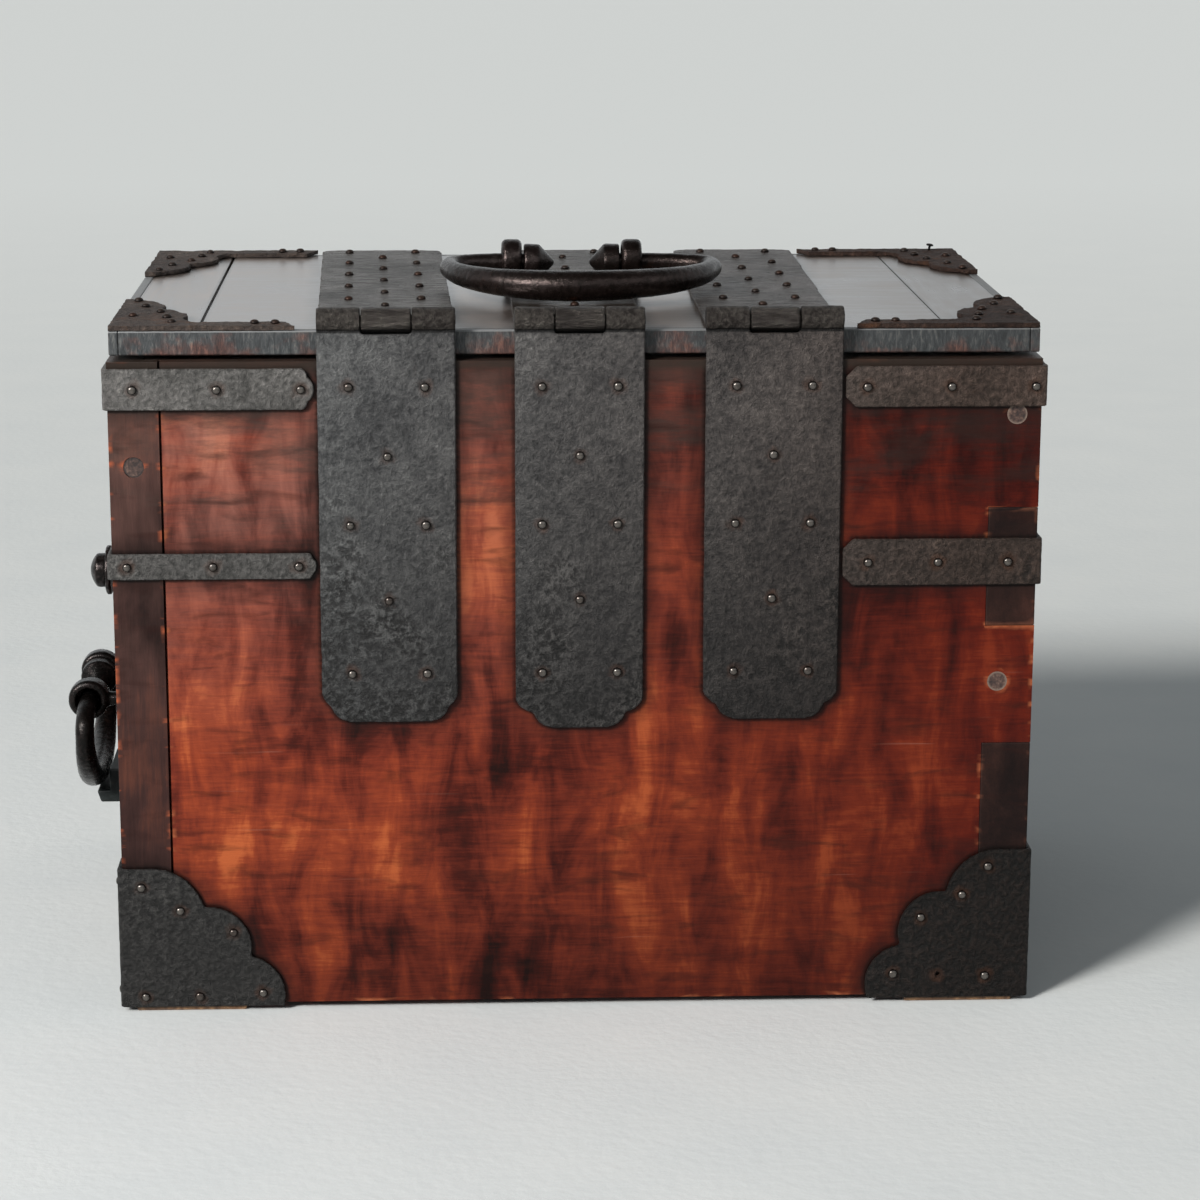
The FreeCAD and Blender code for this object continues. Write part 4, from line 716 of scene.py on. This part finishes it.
def forged_iron(name, tones, rust, rust_share, roughness=0.5, metal=0.35, painted_foot_darkness=0.62,
                drag=(1, 1, 1), depth=0.003, barrel=False):
    """Old forged iron: coarse and fine pitting of a depth, drawn out by a drag, damp and dark low
    down, rust in patches and round the nails, painted light towards the top and painted shade
    towards the foot, browner and darker towards the right with painted shade, duller there too,
    a painted shadow round each nail head and painted shade along the edges. A barrel is rolled
    out of its leaf."""
    material, tree, place = new_material(name)
    split = add(tree, "ShaderNodeSeparateXYZ", {"Vector": place})
    broad = mottle(tree, place, Scale=20.0, Detail=6.0, Roughness=0.65)
    run = add(tree, "ShaderNodeMapping", {"Vector": place}, Scale=drag)
    pits = mottle(tree, run, Scale=330.0, Detail=6.0, Roughness=0.65)
    light = reckon(tree, "MULTIPLY_ADD", broad, 0.8, pits)
    iron = colours(tree, spread(tree, light, 0.5, 1.3), *tones)
    # painted light towards the top and painted shade towards the foot
    painted_foot_shade = spread(tree, split.outputs["Z"], 0.1, 0.35, painted_foot_darkness, 1.6)
    iron = blend(tree, 1.0, iron, painted_foot_shade, "MULTIPLY")
    # painted shade towards the right, with a brown cast
    brown_painted_shade = spread(tree, split.outputs["X"], -0.15, 0.2, 0.0, 1.0)
    iron = blend(tree, brown_painted_shade, iron, blend(tree, 1.0, iron, BROWN_PAINTED_SHADE, "MULTIPLY"))
    low = spread(tree, split.outputs["Z"], 0.14, 0.3, 0.24, -0.05)
    damp = spread(tree, reckon(tree, "ADD", broad, low), 0.55, 0.72)
    sunk = spread(tree, pits, 0.44, 0.57, 0.9, 0.0)
    iron = blend(tree, reckon(tree, "MULTIPLY", damp, sunk), iron, DAMP_PIT)
    patches = mottle(tree, place, Scale=34.0, Detail=7.0, Roughness=0.72)
    rusty = spread(tree, patches, 0.72 - rust_share, 0.86 - rust_share, 0.0, 0.8)
    iron = blend(tree, rusty, iron, rust)
    halo = near(tree, "nail_near", place, reach=5.0, fray=8.0, most=0.6, scale=150.0)
    # painted shadow in a ring round each nail head
    painted_nail_shadow = near(tree, "nail_near", place, reach=3.7, fray=0.8, most=0.8, scale=300.0)
    # painted shade along the plate's edges
    edge = near(tree, "edge_near", place, reach=0.9, fray=0.5, most=0.8, scale=200.0)
    iron = blend(tree, halo, iron, NAIL_RUST)
    iron = blend(tree, painted_nail_shadow, iron, NAIL_RING_PAINTED_SHADOW)
    iron = blend(tree, edge, iron, PAINTED_EDGE_SHADE)
    relief = bump(tree, reckon(tree, "MULTIPLY_ADD", rusty, 0.3, pits), 1.0, depth)
    rough = spread(tree, light, 0.65, 1.15, roughness + 0.12, roughness - 0.06)
    if barrel:
        iron, rolled = rolled_barrel(tree, iron, split, light)
        metal = spread(tree, rolled, 0.0, 1.0, metal, 0.9)
    shine = spread(tree, split.outputs["X"], -0.15, 0.2, 0.5, 0.25)
    return finish(material, tree, iron, relief, rough, Metallic=metal, Specular_IOR_Level=shine)


def evaluated_mesh(holder):
    """The mesh that an object's modifiers make. The object itself is removed."""
    depsgraph = bpy.context.evaluated_depsgraph_get()
    ready = bpy.data.meshes.new_from_object(holder.evaluated_get(depsgraph))
    bpy.data.objects.remove(holder)
    return ready


def forged_piece(node, body, voxel, hammering, material):
    """A forged piece from its CAD shape: remeshed so its edges soften, then hammered inwards."""
    raw = cad_copy(node)
    edges = point_tree(edge_points(raw, EDGE_STEP))
    bmesh.ops.triangulate(raw, faces=raw.faces)
    data = bpy.data.meshes.new(node)
    raw.to_mesh(data)
    raw.free()
    rough = bpy.data.objects.new(node + "_rough", data)
    bpy.context.scene.collection.objects.link(rough)
    remesh = rough.modifiers.new("remesh", "REMESH")
    remesh.mode = "VOXEL"
    remesh.voxel_size = voxel
    mesh = bmesh.new()
    mesh.from_mesh(evaluated_mesh(rough))
    bmesh.ops.smooth_vert(mesh, verts=mesh.verts, factor=SOFTENING, use_axis_x=True,
                          use_axis_y=True, use_axis_z=True)
    mesh.normal_update()
    for vert in mesh.verts:
        dent = noise.fractal(vert.co * DENT_SCALE, DENT_FADE, DENT_GAP, DENT_OCTAVES)
        vert.co += vert.normal * (-abs(dent) * hammering)
    distance_attribute(mesh, "edge_near", edges, IRON_REACH)
    distance_attribute(mesh, "nail_near", near_nail, IRON_REACH)
    make_piece(node + "_forged", mesh, material, body, [node])


LEAF_TONES = ("#0f1011", "#323334", "#4d4e4e", "#6c6e6d")
leaf_iron = forged_iron("grey_forged_leaf", LEAF_TONES, "#2b1f1a", 0.05, painted_foot_darkness=0.2, barrel=True)
STRAP_TONES = ("#141312", "#393836", "#575553", "#797772")
strap_iron = forged_iron("grey_forged_strap", STRAP_TONES, "#38281f", 0.05, painted_foot_darkness=0.26)
LID_TONES = ("#0d0b0a", "#27231f", "#45403b", "#6f6b64")
lid_iron = forged_iron("lid_leaf_iron", LID_TONES, "#33251d", 0.14, roughness=0.32, metal=0.7,
                       drag=(0.2, 1, 1), barrel=True)

for hinge in ("left", "middle", "right"):
    forged_piece(hinge + "_body_leaf", "chest", LEAF_VOXEL, HAMMERING, leaf_iron)
    forged_piece(hinge + "_lid_leaf", "lid", LEAF_VOXEL, HAMMERING, lid_iron)
for side in ("left", "right"):
    for face in ("hinge", "lock"):
        for level in ("upper", "middle"):
            strap = f"{level}_{side}_strap_{face}_side"
            forged_piece(strap, "chest", STRAP_VOXEL, HAMMERING, strap_iron)
        forged_piece(f"foot_plate_{face}_{side}", "chest", STRAP_VOXEL, HAMMERING, strap_iron)

# ---------------------------------------------------------------------------
# Hinge pins: bright where the knuckles rub, dark at their ends.
# ---------------------------------------------------------------------------

PIN_EDGE = 0.0004
PIN_TONES = ("#151414", "#2b2927", "#4b4845")
pin_iron = forged_iron("hinge_pin_iron", PIN_TONES, "#3c281d", 0.08, roughness=0.4, metal=0.6)
pins = cad_copy("hinge_pins")
ease_edges(pins, PIN_EDGE)
make_piece("hinge_pins_turned", pins, pin_iron, "chest", ["hinge_pins"])

# ---------------------------------------------------------------------------
# Lid corner plates: thinner, out in the weather of hands and dust, so their
# rust is brown, flaky and raised in scales.
# ---------------------------------------------------------------------------

FLAKING = 0.0008
RUST_TONES = ("#100c0b", "#211a17", "#372d27", "#5e5148")
flaky_iron = forged_iron("flaky_rusted_iron", RUST_TONES, "#55351f", 0.16, roughness=0.7,
                         metal=0.1, painted_foot_darkness=0.9)
for side in ("left", "right"):
    for face in ("hinge", "lock"):
        forged_piece(f"lid_plate_{face}_{side}", "lid", LEAF_VOXEL, FLAKING, flaky_iron)

# ---------------------------------------------------------------------------
# Nail heads: hand-made domes, no two quite alike, polished on top where
# hands and cloths pass, rusty on the lid.
# ---------------------------------------------------------------------------

DOME_TURNS = 16
DOME_RINGS = 6
DOME_SHARE = 0.97
DOME_FULLNESS = 0.8
FACETS = 2.5
FACET_DEPTH = 0.05
FULL_TURN = 6.28
MISSING_NAIL = Vector((0.1945, -0.1585, 0.0158))


def nail_dome():
    """A nail's head about the origin, its underside on the XY plane: a flattened dome with a
    few facets."""
    data = bpy.data.meshes.new("nail_dome")
    mesh = bmesh.new()
    rings = []
    for i in range(DOME_RINGS):
        rise = math.pi / 2 * i / DOME_RINGS
        circle = []
        for k in range(DOME_TURNS):
            turn = 2 * math.pi * k / DOME_TURNS
            facet = 1 - FACET_DEPTH * abs(math.sin(turn * FACETS)) * math.cos(rise)
            out = HEAD_RADIUS * DOME_SHARE * math.cos(rise) ** DOME_FULLNESS * facet
            corner = (out * math.cos(turn), out * math.sin(turn), HEAD_RISE * math.sin(rise))
            circle.append(mesh.verts.new(corner))
        rings.append(circle)
    top = mesh.verts.new((0, 0, HEAD_RISE))
    for low, high in zip(rings, rings[1:]):
        for k in range(DOME_TURNS):
            after = (k + 1) % DOME_TURNS
            mesh.faces.new((low[k], low[after], high[after], high[k]))
    for k in range(DOME_TURNS):
        mesh.faces.new((rings[-1][k], rings[-1][(k + 1) % DOME_TURNS], top))
    mesh.faces.new(list(reversed(rings[0])))
    mesh.to_mesh(data)
    mesh.free()
    data.shade_smooth()
    dome = bpy.data.objects.new("nail_dome", data)
    bpy.context.scene.collection.objects.link(dome)
    return dome


def nail_iron(name, tones, rust, roughness):
    """Iron worn bright on the crown and dark at the rim, by the head's own height."""
    material, tree, place = new_material(name)
    crown = add(tree, "ShaderNodeAttribute", attribute_name="crown")
    pits = mottle(tree, place, Scale=500.0, Detail=4.0, Roughness=0.7)
    high = reckon(tree, "MULTIPLY_ADD", pits, 0.6, crown.outputs["Fac"])
    iron = colours(tree, spread(tree, high, 0.25, 1.3), *tones)
    patches = mottle(tree, place, Scale=90.0, Detail=3.0)
    iron = blend(tree, spread(tree, patches, 0.5, 0.68, 0.0, 0.6), iron, rust)
    relief = bump(tree, pits, 0.3, 0.0003)
    return finish(material, tree, iron, relief, roughness, Metallic=0.7)


def driven_nails(dome, material):
    """A group that sets a nail's head on every point, turned to face the point's way, each
    spun, tilted and sized a little by its own chance."""
    group = bpy.data.node_groups.new("driven_nails", "GeometryNodeTree")
    sockets = group.interface
    sockets.new_socket("Geometry", in_out="INPUT", socket_type="NodeSocketGeometry")
    for name, value in (("Smallest", 0.9), ("Largest", 1.0), ("Tilt", 0.07)):
        sockets.new_socket(name, in_out="INPUT", socket_type="NodeSocketFloat").default_value = value
    sockets.new_socket("Seed", in_out="INPUT", socket_type="NodeSocketInt").default_value = 7
    sockets.new_socket("Geometry", in_out="OUTPUT", socket_type="NodeSocketGeometry")
    given = add(group, "NodeGroupInput")
    facing = add(group, "GeometryNodeInputNamedAttribute", data_type="FLOAT_VECTOR", Name="facing")
    turned = add(group, "FunctionNodeAlignRotationToVector", {"Vector": facing.outputs["Attribute"]},
                 axis="Z")
    tilt = given.outputs["Tilt"]
    seed = given.outputs["Seed"]
    minus = reckon(group, "MULTIPLY", tilt, -1.0)
    lean_low = add(group, "ShaderNodeCombineXYZ", {"X": minus, "Y": minus})
    lean_high = add(group, "ShaderNodeCombineXYZ", {"X": tilt, "Y": tilt}, Z=FULL_TURN)
    lean = add(group, "FunctionNodeRandomValue", {0: lean_low, 1: lean_high, "Seed": seed},
               data_type="FLOAT_VECTOR")
    leaned = add(group, "FunctionNodeRotateRotation",
                 {"Rotation": turned, "Rotate By": lean.outputs["Value"]}, rotation_space="LOCAL")
    sizes = {2: given.outputs["Smallest"], 3: given.outputs["Largest"], "Seed": seed}
    size = add(group, "FunctionNodeRandomValue", sizes, data_type="FLOAT")
    form = add(group, "GeometryNodeObjectInfo", Object=dome)
    heads = add(group, "GeometryNodeInstanceOnPoints", {"Points": given.outputs["Geometry"],
                "Instance": form.outputs["Geometry"], "Rotation": leaned, "Scale": size.outputs[1]})
    real = add(group, "GeometryNodeRealizeInstances", {"Geometry": heads})
    dressed = add(group, "GeometryNodeSetMaterial", {"Geometry": real}, Material=material)
    add(group, "NodeGroupOutput", {"Geometry": dressed})
    return group


def set_nails(node, body, group):
    """One mesh of all of a node's nail heads, without the one that has fallen out."""
    seats = [(place, facing) for place, facing in nail_seats[node]
             if (place - MISSING_NAIL).length > HEAD_RADIUS]
    data = bpy.data.meshes.new(node)
    data.from_pydata([place for place, facing in seats], [], [])
    layer = data.attributes.new("facing", "FLOAT_VECTOR", "POINT")
    layer.data.foreach_set("vector", [value for place, facing in seats for value in facing])
    holder = bpy.data.objects.new(node + "_points", data)
    bpy.context.scene.collection.objects.link(holder)
    holder.modifiers.new("nails", "NODES").node_group = group
    ready = evaluated_mesh(holder)
    ready.name = node + "_heads"
    piece = bpy.data.objects.new(node + "_heads", ready)
    bpy.context.scene.collection.objects.link(piece)
    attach(piece, body)
    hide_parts(node)


dome = nail_dome()
crown = dome.data.attributes.new("crown", "FLOAT", "POINT")
crown.data.foreach_set("value", [v.co.z / HEAD_RISE for v in dome.data.vertices])
bright_nail = nail_iron("polished_nail_iron", ("#080707", "#191716", "#66615c"), "#2b1d17",
                        roughness=0.26)
rusty_nail = nail_iron("rusty_nail_iron", ("#0c0908", "#1e1613", "#463a32"), "#3d2418",
                       roughness=0.5)
bright_group = driven_nails(dome, bright_nail)
rusty_group = driven_nails(dome, rusty_nail)
for node, body in NAIL_NODES.items():
    set_nails(node, body, rusty_group if body == "lid" else bright_group)
bpy.data.objects.remove(dome)

# ---------------------------------------------------------------------------
# Bent nail: a flat-headed nail that has worked loose and stands in the far
# right lid plate.
# ---------------------------------------------------------------------------

LOOSE_PLACE = (0.2235, 0.148)
LOOSE_LEAN = Vector((0.14, -0.1, 1.0)).normalized()
LOOSE_SUNK = 0.0006
LOOSE_TURNS = 12
# height and radius of each ring, in millimetres
LOOSE_RINGS = ((0.0, 0.8), (1.2, 0.7), (3.0, 0.75), (3.2, 2.1), (3.7, 2.2), (4.1, 1.7), (4.3, 0.4))


def loose_nail():
    """Rings of a shank and a flat head, stacked along a leaning line."""
    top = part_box("lid_plate_lock_right")[1][2]
    base = Vector((*LOOSE_PLACE, top - LOOSE_SUNK))
    across = LOOSE_LEAN.cross(Vector((0, 1, 0))).normalized()
    deep = LOOSE_LEAN.cross(across)
    turns = [2 * math.pi * k / LOOSE_TURNS for k in range(LOOSE_TURNS)]
    mesh = bmesh.new()
    rings = []
    for height, radius in LOOSE_RINGS:
        middle = base + LOOSE_LEAN * height / 1000
        spokes = [(across * math.cos(a) + deep * math.sin(a)) * radius / 1000 for a in turns]
        rings.append([mesh.verts.new(middle + spoke) for spoke in spokes])
    for low, high in zip(rings, rings[1:]):
        for k in range(LOOSE_TURNS):
            after = (k + 1) % LOOSE_TURNS
            mesh.faces.new((low[k], low[after], high[after], high[k]))
    mesh.faces.new(rings[-1])
    mesh.faces.new(list(reversed(rings[0])))
    bmesh.ops.recalc_face_normals(mesh, faces=mesh.faces)
    make_piece("loose_nail", mesh, rusty_nail, "lid", [])


loose_nail()

# ---------------------------------------------------------------------------
# Handles: heavy forged bails through ring eyes, with acorns riveted on their
# ends. Black-brown, oiled by hands and worn bright on the grips.
# ---------------------------------------------------------------------------

HANDLE_VOXEL = 0.0009
HANDLE_HAMMERING = 0.00025
BOSS_HAMMERING = 0.0002
HANDLE_TONES = ("#0a0908", "#161210", "#272120", "#474240")
handle_iron = forged_iron("hand_worn_forged_iron", HANDLE_TONES, "#3a2216", 0.12, roughness=0.24,
                          metal=0.75, painted_foot_darkness=0.9, depth=0.0004)
HANDLE_PIECES = {
    "top_bail": "top_handle",
    "top_bail_finials": "top_handle",
    "left_top_eye": "lid",
    "right_top_eye": "lid",
    "top_eye_washers": "lid",
    "side_bail": "side_handle",
    "side_bail_finials": "side_handle",
    "side_eye_hinge_side": "chest",
    "side_eye_lock_side": "chest",
    "side_eye_washers": "chest",
}
for node, body in HANDLE_PIECES.items():
    forged_piece(node, body, HANDLE_VOXEL, HANDLE_HAMMERING, handle_iron)

# ---------------------------------------------------------------------------
# Boss: a thick domed stud on a disc, over the strap's end at the left corner.
# ---------------------------------------------------------------------------

for node in ("boss_disc", "boss_stud"):
    forged_piece(node, "chest", STRAP_VOXEL, BOSS_HAMMERING, handle_iron)

# ---------------------------------------------------------------------------
# Block under the side handle: hardwood, painted near black with the lacquer,
# its lip worn by the grip.
# ---------------------------------------------------------------------------

REST_TONES = ("#0d0f0f", "#1b1f1f", "#2a2f2f", "#3b4040")
REST_EDGE = 0.001
REST_STEP = 0.004
rest_wood = lacquered_zelkova("blackened_block", "y", (7, 2.2, 7), REST_TONES, worn="#4f4238",
                              painted_sheen_share=0.1, gloss=0.4)
worked_board("handle_rest", rest_wood, "chest", REST_EDGE, REST_STEP)

# ---------------------------------------------------------------------------
# Bottom and battens: plain sawn boards, unlacquered and grey with dust.
# ---------------------------------------------------------------------------


def sawn_wood(name, axis):
    """Bare softwood with saw marks and grey dirt."""
    material, tree, place = new_material(name)
    fibres, rings = grain(tree, place, axis)
    saw = add(tree, "ShaderNodeTexWave", {"Vector": place}, Scale=160.0, Distortion=2.0, Detail=2.0)
    light = reckon(tree, "MULTIPLY_ADD", rings, 0.35, fibres)
    wood = colours(tree, spread(tree, light, 0.3, 1.0), "#4a3222", "#7a583c", "#a07c58")
    dirt = mottle(tree, place, Scale=11.0, Detail=6.0, Roughness=0.65)
    wood = blend(tree, spread(tree, dirt, 0.45, 0.7, 0.1, 0.7), wood, "#3d3631")
    height = reckon(tree, "MULTIPLY_ADD", saw, 0.3, fibres)
    relief = bump(tree, height, 0.4, 0.0006)
    return finish(material, tree, wood, relief, 0.75)


worked_board("bottom_board", sawn_wood("sawn_bottom", "x"), "chest")
worked_board("skids", sawn_wood("sawn_battens", "y"), "chest")

# ---------------------------------------------------------------------------
# Lock: a sheet-iron case on the inside, its bolt, the lid's catch and, on the
# far face, a key plate with a keyhole. Filed and blackened, cleaner inside.
# ---------------------------------------------------------------------------

FILED_EDGE = 0.00025
FILED_STEP = 0.003
FILED_TONES = ("#1b1b1c", "#37383a", "#58595b")
lock_iron = forged_iron("filed_lock_iron", FILED_TONES, "#44301f", 0.04, roughness=0.42, metal=0.6,
                        painted_foot_darkness=0.9)
LOCK_PIECES = {"lock_case": "chest", "lock_bolt": "bolt", "lid_catch": "lid", "key_plate": "chest"}
for node, body in LOCK_PIECES.items():
    piece = cad_copy(node)
    filed = point_tree(edge_points(piece, EDGE_STEP))
    ease_edges(piece, FILED_EDGE, 1)
    cut_grid(piece, FILED_STEP)
    distance_attribute(piece, "edge_near", filed, IRON_REACH)
    distance_attribute(piece, "nail_near", near_nail, IRON_REACH)
    make_piece(node + "_filed", piece, lock_iron, body, [node], smooth=False)
